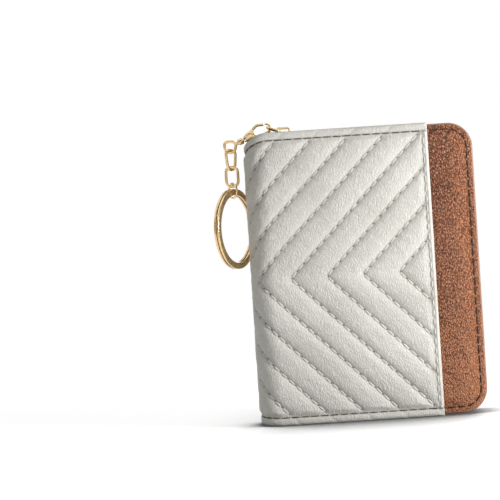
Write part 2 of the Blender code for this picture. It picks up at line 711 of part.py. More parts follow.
def gate_outline():
    """The sprung gate between the shank and the hook's tip, with a thumb knob."""
    low, high = HOOK_INNER_RADIUS, HOOK_OUTER_RADIUS
    tip = HOOK_CENTRE_U + HOOK_INNER_RADIUS * math.cos(math.pi - HOOK_TIP_ANGLE) + HOOK_WALL
    root = CLASP_BODY_U - CLEARANCE
    knob_top = high + GATE_KNOB_HEIGHT
    return [
        (tip, low),
        (tip + HOOK_WALL / 2, high),
        (GATE_KNOB_U, high),
        (GATE_KNOB_U - GATE_KNOB_WIDTH / 2, knob_top),
        (GATE_KNOB_U + GATE_KNOB_WIDTH / 2, knob_top),
        (GATE_KNOB_U + GATE_KNOB_WIDTH, high),
        (root, high),
        (root, low),
    ]


def add_clasp():
    """Body and gate of the lobster clasp. It holds the bail's bar in its hook."""
    half = CLASP_THICKNESS / 2
    add_object("clasp_body", clasp_slab(clasp_outline(), half), "gold_metal", BAIL_END)
    gate_pivot = BAIL_END + GATE_PIVOT_U * CLASP_AXIS + GATE_PIVOT_V * CLASP_UP
    add_object("clasp_gate", clasp_slab(gate_outline(), half), "gold_metal", gate_pivot)


def add_swivel():
    """A barrel on the clasp's axis with a stem and a round eye for the chain."""
    start_u = CLASP_TAIL_U + CLEARANCE
    barrel_end = start_u + SWIVEL_LENGTH
    stem_end = EYE_U - EYE_RADIUS
    across = Vector((0, 1, 0))
    profile = [
        (start_u, SWIVEL_RADIUS),
        (barrel_end - SWIVEL_STEM_RADIUS, SWIVEL_RADIUS),
        (barrel_end, SWIVEL_STEM_RADIUS),
        (stem_end, SWIVEL_STEM_RADIUS),
    ]
    loops = []
    turns = [2 * math.pi * k / WIRE_SIDES for k in range(WIRE_SIDES)]
    for u, radius in profile:
        centre = BAIL_END + u * CLASP_AXIS
        loops.append([centre + radius * (math.cos(t) * CLASP_UP + math.sin(t) * across) for t in turns])
    pivot = BAIL_END + start_u * CLASP_AXIS
    swivel = add_object("clasp_swivel", loft(loops), "gold_metal", pivot)
    eye = hanging_loop(EYE_CENTRE, EYE_RADIUS, EYE_RADIUS, 0, CHAIN_WIRE)
    fuse(swivel, add_object("swivel_eye_tool", eye, "gold_metal", pivot))


def add_chain():
    """Two links and a small round ring, each turned against the one above it."""
    half_width = (LINK_WIDTH - CHAIN_WIRE) / 2
    for name, top, bottom, turn, pivot_z in (
        ("chain_link_1", LINK_1_TOP_Z, LINK_1_BOTTOM_Z, LINK_1_TURN, EYE_BOTTOM_Z),
        ("chain_link_2", LINK_2_TOP_Z, LINK_2_BOTTOM_Z, LINK_2_TURN, LINK_1_BOTTOM_Z),
    ):
        centre = Vector((-CHAIN_SETBACK, 0, (top + bottom) / 2))
        link = hanging_loop(centre, half_width, (top - bottom) / 2, turn, CHAIN_WIRE)
        add_object(name, link, "gold_metal", Vector((-CHAIN_SETBACK, 0, pivot_z)))
    ring = hanging_loop(Vector((-CHAIN_SETBACK, 0, JUMP_Z)), JUMP_RADIUS, JUMP_RADIUS, JUMP_TURN, JUMP_WIRE)
    add_object("jump_ring", ring, "gold_metal", Vector((-CHAIN_SETBACK, 0, LINK_2_BOTTOM_Z)))


def key_ring_angles():
    """Even steps once round, across the jog and on to the second turn's end, just short of the jog."""
    whole = 4 * math.pi - KEY_RING_JOG - 2 * KEY_RING_TIP_GAP
    count = round(whole / KEY_RING_STEP)
    return [whole * k / count for k in range(count + 1)]


def key_ring_offset(angle):
    """Sideways place of the strip: one turn on each side, joined by a smooth jog at the first turn's end."""
    half_step = (KEY_RING_STRIP + KEY_RING_TURN_GAP) / 2
    jog_end = 2 * math.pi - KEY_RING_TIP_GAP
    share = min(max((angle - jog_end + KEY_RING_JOG) / KEY_RING_JOG, 0), 1)
    return half_step * (2 * share * share * (3 - 2 * share) - 1)


def key_ring_loops():
    """Cross-sections of the flat strip, wound about the ring's level axis, starting below its jog."""
    along = turned_direction(KEY_RING_TURN)
    up = Vector((0, 0, 1))
    axis = along.cross(up)
    centre = Vector((-CHAIN_SETBACK, 0, KEY_RING_Z))
    loops = []
    for angle in key_ring_angles():
        outwards = math.cos(angle) * along + math.sin(angle) * up
        middle = centre + key_ring_offset(angle) * axis
        loops.append(
            [
                middle + (KEY_RING_RADIUS + a * KEY_RING_BAND / 2) * outwards + b * KEY_RING_STRIP / 2 * axis
                for a, b in ((-1, -1), (1, -1), (1, 1), (-1, 1))
            ]
        )
    return loops


def print_least_gap(loops):
    """Measure the strip's least gap to itself between points that are over half a turn apart."""
    samples = []
    for loop, after in zip(loops, loops[1:] + loops[-1:]):
        corners = np.array([list(point) for point in loop])
        ahead = np.array([list(point) for point in after])
        edges = np.concatenate([corners * (1 - t) + np.roll(corners, -1, axis=0) * t for t in (0, 0.5)])
        samples.append(np.concatenate([edges, (corners + ahead) / 2]))
    apart = round(math.pi / KEY_RING_STEP)
    least = math.inf
    for i, here in enumerate(samples):
        for there in samples[i + apart :]:
            distance = np.linalg.norm(here[:, None] - there[None], axis=2)
            least = min(least, float(distance.min()))
    print(f"key_ring least gap to itself: {least * 1000:.2f} mm")


def add_key_ring():
    """A split ring: one flat strip in two turns side by side."""
    loops = key_ring_loops()
    print_least_gap(loops)
    add_object("key_ring", loft(loops), "gold_metal", Vector((-CHAIN_SETBACK, 0, KEY_RING_SEAT_Z)))


def build():
    clear_scene()
    lining_inside = add_spine()
    add_pocket_base(lining_inside)
    add_gussets()
    add_cover("front", -1)
    add_cover("back", 1)
    add_leaves()
    add_slider()
    add_bail()
    add_clasp()
    add_swivel()
    add_chain()
    add_key_ring()


build()
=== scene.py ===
import json
import math

import bmesh
import bpy
import numpy as np
from mathutils import Matrix, Vector


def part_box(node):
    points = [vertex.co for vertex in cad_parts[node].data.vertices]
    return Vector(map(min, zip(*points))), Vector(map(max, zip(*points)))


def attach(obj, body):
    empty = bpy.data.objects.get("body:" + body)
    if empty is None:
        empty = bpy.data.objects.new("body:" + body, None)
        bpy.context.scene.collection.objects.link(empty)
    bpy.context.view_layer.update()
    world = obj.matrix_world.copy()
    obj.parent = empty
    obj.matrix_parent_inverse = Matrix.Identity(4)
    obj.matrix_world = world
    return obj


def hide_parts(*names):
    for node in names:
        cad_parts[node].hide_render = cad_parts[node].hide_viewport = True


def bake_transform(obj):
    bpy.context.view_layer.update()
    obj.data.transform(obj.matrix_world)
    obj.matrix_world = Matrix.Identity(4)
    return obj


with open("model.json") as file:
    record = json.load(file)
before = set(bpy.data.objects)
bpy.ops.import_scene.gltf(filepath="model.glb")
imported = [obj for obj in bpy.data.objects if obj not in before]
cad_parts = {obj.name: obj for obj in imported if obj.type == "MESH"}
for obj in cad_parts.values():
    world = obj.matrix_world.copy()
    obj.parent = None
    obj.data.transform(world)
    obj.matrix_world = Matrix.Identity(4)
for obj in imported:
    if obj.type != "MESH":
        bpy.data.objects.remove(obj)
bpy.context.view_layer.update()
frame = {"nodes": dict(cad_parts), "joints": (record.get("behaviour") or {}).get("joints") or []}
joints = {joint["name"]: joint for joint in frame["joints"]}

# Lengths are metres. A place on the wallet is given by x from the spine's outer face and z from the floor
wallet = {
    "spineX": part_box("spine_cover")[0][0],
    "edgeX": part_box("front_panel")[1][0],
    "height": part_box("front_quilt")[1][2],
    "half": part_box("spine_cover")[1][1],
    "rimInset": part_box("front_panel")[0][2],
    "spineRadius": 0.0085,
    "corner": 0.009,
    "topDip": 0.0045,  # how far the spine's ends sink between the covers
    "bottomRise": 0.0008,
    "bendStart": 0.006,  # where the soft layers start to turn with a cover
    "bendEnd": 0.012,
}
wallet["width"] = wallet["edgeX"] - wallet["spineX"]
wallet["flat"] = wallet["half"] - wallet["spineRadius"]
wallet["arc"] = wallet["spineRadius"] * math.pi / 2
wallet["turn"] = wallet["flat"] + wallet["arc"] + 0.0005
wallet["rimTop"] = wallet["height"] - wallet["rimInset"]
sides = {"front": -1, "back": 1}
sideways = np.array([0, 1.0, 0])
upwards = np.array([0, 0, 1.0])


def fullTurn(steps):
    return np.linspace(0, 2 * math.pi, steps, endpoint=False)


def squareTurn(turn, power):
    # Cosine and sine of a turn, squarer as the power falls below 1
    return [np.sign(v) * np.abs(v) ** power for v in (np.cos(turn), np.sin(turn))]


def unitVectors(vectors):
    return vectors / np.linalg.norm(vectors, axis=-1, keepdims=True)


def stackXyz(x, y, z):
    return np.stack(np.broadcast_arrays(x, y, z), -1)


def wrapRun(x):
    # How far round the wrap from the spine's middle a place on a flat cover lies
    return wallet["flat"] + wallet["arc"] + x - wallet["spineRadius"]


def sectionAngle(s):
    return np.clip((np.abs(s) - wallet["flat"]) / wallet["spineRadius"], 0, math.pi / 2)


def sectionPoint(s, depth):
    # Section of the wrap: a flat spine face, a quarter round, then a flat cover. s is positive on the front
    run = np.abs(s)
    angle = sectionAngle(s)
    reach = wallet["spineRadius"] - depth
    beyond = np.maximum(run - wallet["flat"] - wallet["arc"], 0)
    x = wallet["spineX"] + wallet["spineRadius"] - reach * np.cos(angle) + beyond
    y = np.where(s > 0, -1.0, 1.0) * (np.minimum(run, wallet["flat"]) + reach * np.sin(angle))
    return x, y


def sectionNormal(s):
    # Outward direction of that section, with no z part
    angle = sectionAngle(s)
    return stackXyz(-np.cos(angle), np.where(s > 0, -1.0, 1.0) * np.sin(angle), 0.0)


def realHeight(s, z):
    # The spine's two ends sink between the covers along one cosine wave
    share = np.where(np.abs(s) < wallet["turn"], (1 + np.cos(math.pi * s / wallet["turn"])) / 2, 0.0)
    low = wallet["bottomRise"] * share
    high = wallet["height"] - wallet["topDip"] * share
    return low + (high - low) * z / wallet["height"]


def smooth(value, low, high):
    t = np.clip((value - low) / (high - low), 0, 1)
    return t * t * (3 - 2 * t)


def softNoise(a, b, size, seed):
    # A sum of eight plane waves in seeded directions, from -1 to 1 or so
    rng = np.random.default_rng(seed)
    total = np.zeros(np.broadcast(a, b).shape)
    for _ in range(8):
        angle = rng.uniform(0, 2 * math.pi)
        phase = rng.uniform(0, 2 * math.pi)
        wave = 2 * math.pi * rng.uniform(0.6, 1.7) / size
        total = total + np.sin(wave * (math.cos(angle) * a + math.sin(angle) * b) + phase)
    return total / 4


def roundedBox(width, height, radius):
    # Outline of a rectangle with round corners about its centre: a quarter turn added at each corner
    turn = np.linspace(0, math.pi / 2, 4) + np.arange(4)[:, None] * math.pi / 2
    x = np.array([1, -1, -1, 1])[:, None] * (width / 2 - radius) + radius * np.cos(turn)
    y = np.array([1, 1, -1, -1])[:, None] * (height / 2 - radius) + radius * np.sin(turn)
    return np.stack([x.ravel(), y.ravel()], -1)


def gridFaces(rows, columns, closeRows=False, closeColumns=False):
    # Quads of a grid stored row by row
    r = np.arange(rows if closeRows else rows - 1)[:, None]
    c = np.arange(columns if closeColumns else columns - 1)
    nextR = (r + 1) % rows
    nextC = (c + 1) % columns
    quads = [r * columns + c, r * columns + nextC, nextR * columns + nextC, nextR * columns + c]
    return np.stack(quads, -1).reshape(-1, 4)


def manySweeps(loops, closed=False, uv=None):
    # Skins rows of equal closed loops, shaped (rows, loops, points, 3), with a flat face over each open end
    count, n, k = loops.shape[:3]
    starts = np.arange(count) * n * k
    quads = gridFaces(n, k, closed, True)[None] + starts[:, None, None]
    caps = []
    for start in [] if closed else starts.tolist():
        caps.append(list(range(start, start + k))[::-1])
        caps.append(list(range(start + (n - 1) * k, start + n * k)))
    return {"points": loops.reshape(-1, 3), "quads": quads.reshape(-1, 4), "caps": caps, "uv": uv}


def sweep(loops, closed=False, uv=None):
    return manySweeps(loops[None], closed, uv)


def addObject(name, data):
    made = bpy.data.objects.new(name, data)
    bpy.context.collection.objects.link(made)
    return made


def hinge(label):
    # The blend of a soft layer that turns from the spine to a cover
    y = sides[label] * wallet["half"]
    start = (wallet["spineX"] + wallet["bendStart"], y, 0)
    return label + "_cover", start, (wallet["spineX"] + wallet["bendEnd"], y, 0)


def finishPiece(name, mesh, finish, body, nodes, crease=40):
    # A body's name makes the piece ride on it. A blend from the spine, given as (cover, start, end), is not
    # used: such a piece is only fixed where it stands
    mesh.shade_smooth()
    mesh.set_sharp_from_angle(angle=math.radians(crease))
    mesh.materials.append(finish)
    piece = addObject(name, mesh)
    if isinstance(body, str):
        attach(piece, body)
    else:
        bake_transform(piece)
    if nodes:
        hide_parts(*nodes)
    return piece


def storePiece(name, parts, finish, body, *nodes, crease=40, trim=None):
    # Joins the parts into one smooth mesh at the origin and turns its faces outwards
    faces = []
    start = 0
    for part in parts:
        faces += (part["quads"] + start).tolist()
        faces += [[i + start for i in cap] for cap in part["caps"]]
        start += len(part["points"])
    mesh = bpy.data.meshes.new(name)
    mesh.from_pydata(np.concatenate([part["points"] for part in parts]), [], faces)
    if parts[0]["uv"] is not None:
        uvs = np.concatenate([part["uv"].reshape(-1, 2) for part in parts])
        corner = np.empty(len(mesh.loops), np.int32)
        mesh.loops.foreach_get("vertex_index", corner)
        mesh.uv_layers.new(name="surface").data.foreach_set("uv", uvs[corner].astype(np.float32).ravel())
    bm = bmesh.new()
    bm.from_mesh(mesh)
    bmesh.ops.recalc_face_normals(bm, faces=bm.faces)
    bm.to_mesh(mesh)
    bm.free()
    piece = finishPiece(name, mesh, finish, body, nodes, crease)
    if trim:
        # a second finish on one run of faces: (finish, first face, last face)
        mesh.materials.append(trim[0])
        slots = np.zeros(len(mesh.polygons), np.int32)
        slots[trim[1]:trim[2]] = 1
        mesh.polygons.foreach_set("material_index", slots)
    return piece


quilt = {
    "thickness": 0.0018,
    "channelDepth": 0.00082,
    "puff": 0.001,
    "fullness": 2.8,  # how quickly a puff rises beside its channel
    "crease": 0.00022,  # how much deeper the thread pulls the middle of a channel
    "creaseWidth": 0.00042,
    "swell": ((0.07, 0.022, 3),),  # strength, size and seed of the puffs' slow changes
    "wander": ((0.045, 0.006, 11), (0.03, 0.0026, 12)),  # and of the fine unevenness
    "pucker": 0.08,
    "puckerReach": 0.0016,
    "point": 0.0006,  # softness of a chevron's point
    # painted shade: colour and sizes of the darkening in the needle holes, along the channels and in the seam
    # and hem grooves
    "holeShadeColour": (0.15, 0.13, 0.11, 1),
    "holeSize": (0.00014, 0.00044),
    "lineSize": (0.0002, 0.001),
    "lineShade": 0.28,
    "seamSize": (0.0001, 0.00055),
    "seamShade": 0.06,
    "hemShade": 0.5,
    "period": 0.0133,  # along the wallet, from one chevron to the next
    "start": 0.00985,
    "edgeX": 0.0676,
    "hem": 0.003,
    "hemFade": 0.0023,
    "hemRise": 0.62,
    "hemNotch": (0.34, 0.0007),  # how far and how wide a channel's end dents the hem
    "seam": 0.0017,
    "seamFade": 0.003,
    "seamRise": 0.5,  # how full the sheet stays under the stitches beside the opening edge
    "sideRise": 0.95,
    "step": 0.00037,
    "pitch": 0.0037,
}
quilt["edge"] = wrapRun(quilt["edgeX"])
quilt["middle"] = wallet["height"] / 2
quilt["halfWidth"] = quilt["period"] / math.sqrt(2) / 2
quilt["hemLine"] = quilt["middle"] - quilt["hem"]
quilt["seamLine"] = quilt["edge"] - quilt["seam"]

# Finishes

uvPerMetre = 5.0  # soft pieces carry a UV map in fifths of a metre
uvStart = 0.09  # and the wrap's map starts this far round from its opening edge


def addNode(tree, kind, values=None, **settings):
    node = tree.nodes.new("ShaderNode" + kind)
    for key, value in settings.items():
        setattr(node, key, value)
    for key, value in (values or {}).items():
        if isinstance(value, bpy.types.NodeSocket):
            tree.links.new(value, node.inputs[key])
        else:
            node.inputs[key].default_value = value
    return node


def mathNode(tree, operation, *values):
    return addNode(tree, "Math", dict(enumerate(values)), operation=operation).outputs[0]


def rangeNode(tree, value, low=0.0, high=1.0, toLow=0.0, toHigh=1.0, kind="LINEAR"):
    values = {0: value, 1: low, 2: high, 3: toLow, 4: toHigh}
    return addNode(tree, "MapRange", values, interpolation_type=kind).outputs[0]


def noiseNode(tree, coords, scale, detail=2.0, output="Fac"):
    return addNode(tree, "TexNoise", {"Vector": coords, "Scale": scale, "Detail": detail}).outputs[output]


def waveNode(tree, coords, scale, distortion, direction):
    values = {"Vector": coords, "Scale": scale, "Distortion": distortion}
    return addNode(tree, "TexWave", values, wave_type="BANDS", bands_direction=direction).outputs["Fac"]


def rampNode(tree, factor, stops):
    node = addNode(tree, "ValToRGB", {"Fac": factor})
    ramp = node.color_ramp
    while len(ramp.elements) < len(stops):
        ramp.elements.new(0.5)
    for element, (place, colour) in zip(ramp.elements, stops):
        element.position = place
        element.color = (*colour, 1)
    return node.outputs["Color"]


def newFinish(name, roughness, metallic=0.0, specular=0.5):
    material = bpy.data.materials.new(name)
    material.use_nodes = True
    shader = material.node_tree.nodes["Principled BSDF"]
    shader.inputs["Roughness"].default_value = roughness
    shader.inputs["Metallic"].default_value = metallic
    shader.inputs["Specular IOR Level"].default_value = specular
    return material, material.node_tree, shader


def surfaceCoords(tree, fromUv):
    return addNode(tree, "TexCoord").outputs["UV" if fromUv else "Object"]


def wireShader(tree, shader, colour, height, relief, strength=1.0, rough=None):
    bump = addNode(tree, "Bump", {"Height": height, "Distance": relief, "Strength": strength})
    tree.links.new(bump.outputs["Normal"], shader.inputs["Normal"])
    tree.links.new(colour, shader.inputs["Base Color"])
    if rough:
        tree.links.new(rough, shader.inputs["Roughness"])


def paintedStitchShade(tree, coords, colour):
    # Painted shade: darkens the leather round each needle hole of the chevrons and, more faintly, along their
    # channels.
    # It repeats channelDistance and the stitch pitch on the wrap's UV map
    def calc(operation, *values):
        return mathNode(tree, operation, *values)

    place = addNode(tree, "SeparateXYZ", {0: coords}).outputs
    s = calc("MULTIPLY_ADD", place[0], 1 / uvPerMetre, -uvStart)
    fromMiddle = calc("MULTIPLY_ADD", place[1], 1 / uvPerMetre, -quilt["middle"])
    fromSpine = calc("ABSOLUTE", s)
    upOrDown = calc("ABSOLUTE", fromMiddle)
    rise = calc("SQRT", calc("MULTIPLY_ADD", fromMiddle, fromMiddle, quilt["point"] ** 2))
    rise = calc("SUBTRACT", rise, quilt["point"])
    run = calc("SUBTRACT", calc("SUBTRACT", s, rise), quilt["start"])
    across = calc("MULTIPLY", calc("PINGPONG", run, quilt["period"] / 2), 1 / math.sqrt(2))
    fromHole = calc("PINGPONG", calc("MULTIPLY", upOrDown, math.sqrt(2)), quilt["pitch"] / 2)
    reach = calc("SQRT", calc("MULTIPLY_ADD", across, across, calc("MULTIPLY", fromHole, fromHole)))
    hole = rangeNode(tree, reach, *quilt["holeSize"], 1.0, 0.0)
    line = rangeNode(tree, across, *quilt["lineSize"], quilt["lineShade"], 0.0)
    inHem = calc("LESS_THAN", upOrDown, quilt["hemLine"])
    inSide = calc("LESS_THAN", fromSpine, quilt["seamLine"])
    dark = calc("MULTIPLY", calc("MAXIMUM", hole, line), calc("MULTIPLY", inHem, inSide))
    # painted shade along the grooves of the edge seam and the hems
    for value, row in ((fromSpine, "seam"), (upOrDown, "hem")):
        gap = calc("ABSOLUTE", calc("SUBTRACT", value, quilt[row + "Line"]))
        dark = calc("MAXIMUM", dark, rangeNode(tree, gap, *quilt["seamSize"], quilt[row + "Shade"], 0.0))
    mixed = addNode(tree, "Mix", {0: dark, 6: colour, 7: quilt["holeShadeColour"]}, data_type="RGBA")
    return mixed.outputs[2]


def leatherFinish(name, fromUv, leather, stitchShade=False):
    # Pebbled hide: creases between cells of two sizes, with fine wrinkles and slow changes of tone
    material, tree, shader = newFinish(name, leather["roughness"], specular=leather["specular"])
    coords = surfaceCoords(tree, fromUv)
    unit = uvPerMetre if fromUv else 1.0
    cell = leather["cell"] * unit
    stretch = addNode(tree, "Mapping", {"Vector": coords, "Scale": leather["stretch"]}).outputs[0]
    warp = noiseNode(tree, stretch, 0.4 / cell, output="Color")
    moved = addNode(tree, "VectorMath", {0: warp, "Scale": cell * 1.6}, operation="SCALE").outputs[0]
    place = addNode(tree, "VectorMath", {0: stretch, 1: moved}, operation="ADD").outputs[0]
    pebbles = []
    for finer, crease in ((1.0, 0.28), (2.3, 0.3)):
        values = {"Vector": place, "Scale": finer / cell}
        edge = addNode(tree, "TexVoronoi", values, feature="DISTANCE_TO_EDGE").outputs["Distance"]
        pebbles.append(rangeNode(tree, edge, 0.0, crease, kind="SMOOTHSTEP"))
    wrinkle = noiseNode(tree, stretch, 1.3 / cell, 2.5)
    pebble = mathNode(tree, "MULTIPLY_ADD", pebbles[1], 0.35, pebbles[0])
    height = mathNode(tree, "MULTIPLY_ADD", wrinkle, leather["wrinkle"], pebble)
    pebbled = mathNode(tree, "MULTIPLY", height, leather["pebbleTone"])
    tone = mathNode(tree, "MULTIPLY_ADD", noiseNode(tree, coords, 60 / unit), leather["slowTone"], pebbled)
    # painted light and shade: tone added along one axis of the piece
    for axis, *fade in leather.get("paintedLightFades", ()):
        run = addNode(tree, "SeparateXYZ", {0: coords}).outputs[axis]
        tone = mathNode(tree, "ADD", tone, rangeNode(tree, run, *fade))
    colour = rampNode(tree, tone, leather["tones"])
    # painted shade of the stitching
    if stitchShade:
        colour = paintedStitchShade(tree, coords, colour)
    rough = rangeNode(tree, wrinkle, toLow=leather["roughness"] - 0.07, toHigh=leather["roughness"] + 0.09)
    wireShader(tree, shader, colour, height, leather["relief"], rough=rough)
    return material


# cell is a pebble's size and relief its height. pebbleTone and slowTone say how far each changes the tone
whiteLeather = leatherFinish("whiteLeather", True, {
    "cell": 0.0011, "stretch": (1.45, 0.66, 1.0), "relief": 0.00009, "wrinkle": 0.7,
    "pebbleTone": 0.18, "slowTone": 0.55, "roughness": 0.52, "specular": 0.35,
    "tones": [(0.2, (0.53, 0.515, 0.465)), (0.5, (0.65, 0.635, 0.585)), (0.85, (0.72, 0.705, 0.66))],
}, stitchShade=True)
tanLeather = leatherFinish("tanLeather", False, {
    "cell": 0.0009, "stretch": (1.2, 1.0, 0.8), "relief": 0.00045, "wrinkle": 2.6,
    "pebbleTone": 0.41, "slowTone": 0.2, "roughness": 0.3, "specular": 0.6,
    "paintedLightFades": (  # axis, from, to, and the tone added at each: painted light, paler at the foot; painted shadow of the wrap's edge, darker beside it
        (2, 0.0, 0.075, 0.14, -0.035),
        (0, wallet["spineX"] + quilt["edgeX"], wallet["spineX"] + 0.079, -0.13, 0.06),
    ),
    "tones": [(0.5, (0.080, 0.023, 0.010)), (0.82, (0.300, 0.096, 0.036)), (1.0, (0.60, 0.25, 0.12))],
})
tanLeatherUv = leatherFinish("tanLeatherUv", True, {
    "cell": 0.00095, "stretch": (1.15, 1.0, 1.0), "relief": 0.0003, "wrinkle": 1.6,
    "pebbleTone": 0.3, "slowTone": 0.55, "roughness": 0.35, "specular": 0.5,
    "tones": [(0.3, (0.06, 0.017, 0.007)), (0.65, (0.26, 0.083, 0.032)), (0.95, (0.48, 0.20, 0.095))],
})
# painted highlight: a paler tan for the shell's rounded lip, where its turned edge catches the light
paintedLipHighlight = leatherFinish("paintedLipHighlight", False, {
    "cell": 0.0007, "stretch": (1.0, 1.0, 1.0), "relief": 0.00004, "wrinkle": 1.0,
    "pebbleTone": 0.1, "slowTone": 0.55, "roughness": 0.34, "specular": 0.5,
    "tones": [(0.2, (0.24, 0.105, 0.058)), (0.5, (0.34, 0.17, 0.105)), (0.8, (0.42, 0.235, 0.155))],
})


def clothFinish(name, fromUv, cloth):
    # Twill: fine diagonal ribs broken by a crossing wave, with lint-like speckle
    material, tree, shader = newFinish(name, cloth["roughness"], specular=0.25)
    shader.inputs["Sheen Weight"].default_value = 0.25
    shader.inputs["Sheen Roughness"].default_value = 0.5
    coords = surfaceCoords(tree, fromUv)
    unit = uvPerMetre if fromUv else 1.0
    turned = addNode(tree, "Mapping", {"Vector": coords, "Rotation": cloth["turn"]}).outputs[0]
    ribs = waveNode(tree, turned, cloth["ribs"] / unit, 0.6, "X")
    picks = waveNode(tree, turned, cloth["ribs"] * 1.4 / unit, 0.4, "Y" if fromUv else "Z")
    weave = mathNode(tree, "MULTIPLY", ribs, mathNode(tree, "MULTIPLY_ADD", picks, 0.6, 0.4))
    height = mathNode(tree, "MULTIPLY_ADD", noiseNode(tree, coords, 900 / unit, 3.0), 0.5, weave)
    colour = rampNode(tree, mathNode(tree, "MULTIPLY", height, 0.7), cloth["tones"])
    wireShader(tree, shader, colour, height, cloth["relief"])
    return material


liningCloth = {
    "roughness": 0.8,
    "turn": (0.0, 0.6, 0.75),
    "ribs": 420.0,
    "relief": 0.00005,
    "tones": [(0.1, (0.004, 0.004, 0.004)), (0.9, (0.030, 0.027, 0.026))],
}
blackCloth = clothFinish("blackCloth", False, liningCloth)
blackClothUv = clothFinish("blackClothUv", True, {**liningCloth, "turn": (0.0, 0.0, 0.75)})


def goldFinish(name, roughness, tones):
    # Thin plating: almost a mirror, with faint hand wear in its gloss and tone
    material, tree, shader = newFinish(name, roughness, metallic=1.0)
    wear = noiseNode(tree, surfaceCoords(tree, False), 700.0, 4.0)
    rough = rangeNode(tree, wear, toLow=roughness - 0.06, toHigh=roughness + 0.08)
    wireShader(tree, shader, rampNode(tree, wear, tones), wear, 0.00001, 0.5, rough)
    return material


paleGold = goldFinish("paleGold", 0.23, [(0.3, (0.74, 0.52, 0.26)), (0.7, (0.90, 0.69, 0.41))])
teethGold = goldFinish("teethGold", 0.26, [(0.3, (0.74, 0.48, 0.20)), (0.7, (0.88, 0.62, 0.30))])


def threadFinish(name, tones):
    # Twisted strands: slanting stripes along the thread's own UV map
    material, tree, shader = newFinish(name, 0.6, specular=0.35)
    twist = waveNode(tree, surfaceCoords(tree, True), 1.0, 0.3, "DIAGONAL")
    wireShader(tree, shader, rampNode(tree, twist, tones), twist, 0.00005)
    return material


creamThread = threadFinish("creamThread", [(0.0, (0.62, 0.59, 0.52)), (0.8, (0.88, 0.86, 0.79))])
brownThread = threadFinish("brownThread", [(0.0, (0.020, 0.008, 0.004)), (0.8, (0.075, 0.032, 0.016))])
hemThread = threadFinish("hemThread", [(0.0, (0.020, 0.010, 0.006)), (0.8, (0.090, 0.050, 0.030))])
print("finishes made")

# The quilted wrap

def chevronRise(z):
    # Height above or below the middle, rounded where the two arms meet
    return np.sqrt((z - quilt["middle"]) ** 2 + quilt["point"] ** 2) - quilt["point"]


def channelDistance(s, z):
    # Distance straight across to the nearest stitched channel, and the run along it from the chevron's point
    phase = ((s - quilt["start"] - chevronRise(z)) / quilt["period"]) % 1
    across = np.minimum(phase, 1 - phase) * quilt["period"] / math.sqrt(2)
    return across, np.abs(z - quilt["middle"]) * math.sqrt(2)


def waviness(s, z, layers):
    return sum(strength * softNoise(s, z, size, seed) for strength, size, seed in layers)


def quiltDepth(s, z):
    # Depth of the quilt's face: puffs between the channels, pinched at the hems and beside the opening edge
    across, along = channelDistance(s, z)
    u = np.clip(across / quilt["halfWidth"], 0, 1)
    fromEdge = np.minimum(z, wallet["height"] - z)
    fromSide = quilt["edge"] - np.abs(s)
    pastSeam = smooth(fromSide, quilt["seam"], quilt["seam"] + quilt["seamFade"])
    inside = smooth(fromEdge, quilt["hem"], quilt["hem"] + quilt["hemFade"]) * pastSeam
    crown = 1 - (1 - u) ** quilt["fullness"]
    body = crown * inside * (1 + waviness(s, z, quilt["swell"]))
    body = body + quilt["seamRise"] * (1 - pastSeam)
    hemRoll = quilt["hemRise"] * np.sin(math.pi * np.clip(fromEdge / quilt["hem"], 0, 1)) ** 0.55
    notch, reach = quilt["hemNotch"]
    hemRoll = hemRoll * (1 - notch * np.exp(-((across / reach) ** 2)))
    sideRoll = np.sin(math.pi * np.clip(fromSide / quilt["seam"], 0, 1)) ** 0.6
    sideRoll = (quilt["sideRise"] - quilt["seamRise"]) * sideRoll
    sideRoll = sideRoll + quilt["seamRise"] * smooth(fromSide, 0, quilt["seam"] / 2)
    rise = np.where(fromEdge < quilt["hem"], hemRoll, np.where(fromSide < quilt["seam"], sideRoll, body))
    stitch = 2 * math.pi * along / quilt["pitch"]
    pull = 0.35 + 0.65 * (0.5 + 0.5 * np.cos(stitch)) ** 3
    hole = np.exp(-((across / quilt["creaseWidth"]) ** 2)) * pull * inside
    pucker = quilt["pucker"] * np.exp(-across / quilt["puckerReach"]) * np.sin(stitch + 4 * u) * inside
    wander = waviness(s, z, quilt["wander"]) * inside
    return quilt["channelDepth"] + quilt["crease"] * hole - quilt["puff"] * (rise + pucker + wander)


def makeWrap(label):
    # Loops round the sheet from bottom hem to top hem and back inside, one for each step away from the spine
    side = -sides[label]
    roll = quilt["thickness"] / 2
    straight = quilt["edge"] - roll
    top = wallet["height"] - roll
    flatRun = np.linspace(0, straight, int(straight / quilt["step"]))
    turnOver = np.linspace(0.2, 1.45, 6)
    s = np.concatenate([flatRun, straight + roll * np.sin(turnOver)])[:, None]
    signed = side * np.maximum(s, 1e-9)
    bend = np.linspace(0, math.pi, 9)
    face = np.linspace(roll, top, int((wallet["height"] - 2 * roll) / quilt["step"]))
    z = np.concatenate([face, top + roll * np.sin(bend[1:]), roll - roll * np.sin(bend[:-1])])
    share = np.concatenate([np.zeros_like(face), (1 - np.cos(bend[1:])) / 2, (1 + np.cos(bend[:-1])) / 2])
    depth = quiltDepth(signed, z) * (1 - share) + quilt["thickness"] * share
    squeeze = np.sqrt(np.clip(1 - (np.maximum(s - straight, 0) / roll) ** 2, 0.01, 1))
    x, y = sectionPoint(signed, roll + (depth - roll) * squeeze)
    # the map follows the true length round the turned edges
    sMap = np.concatenate([flatRun, straight + roll * turnOver])[:, None]
    zMap = np.concatenate([face, top + roll * bend[1:], roll - roll * (math.pi - bend[:-1])])
    uv = np.stack(np.broadcast_arrays(side * sMap + uvStart, zMap), -1) * uvPerMetre
    sheet = sweep(stackXyz(x, y, realHeight(s, z)), uv=uv)
    nodes = [label + "_quilt"] + ["spine_cover"] * (label == "front")
    piece = storePiece(label + "_wrap", [sheet], whiteLeather, hinge(label), *nodes, crease=70)


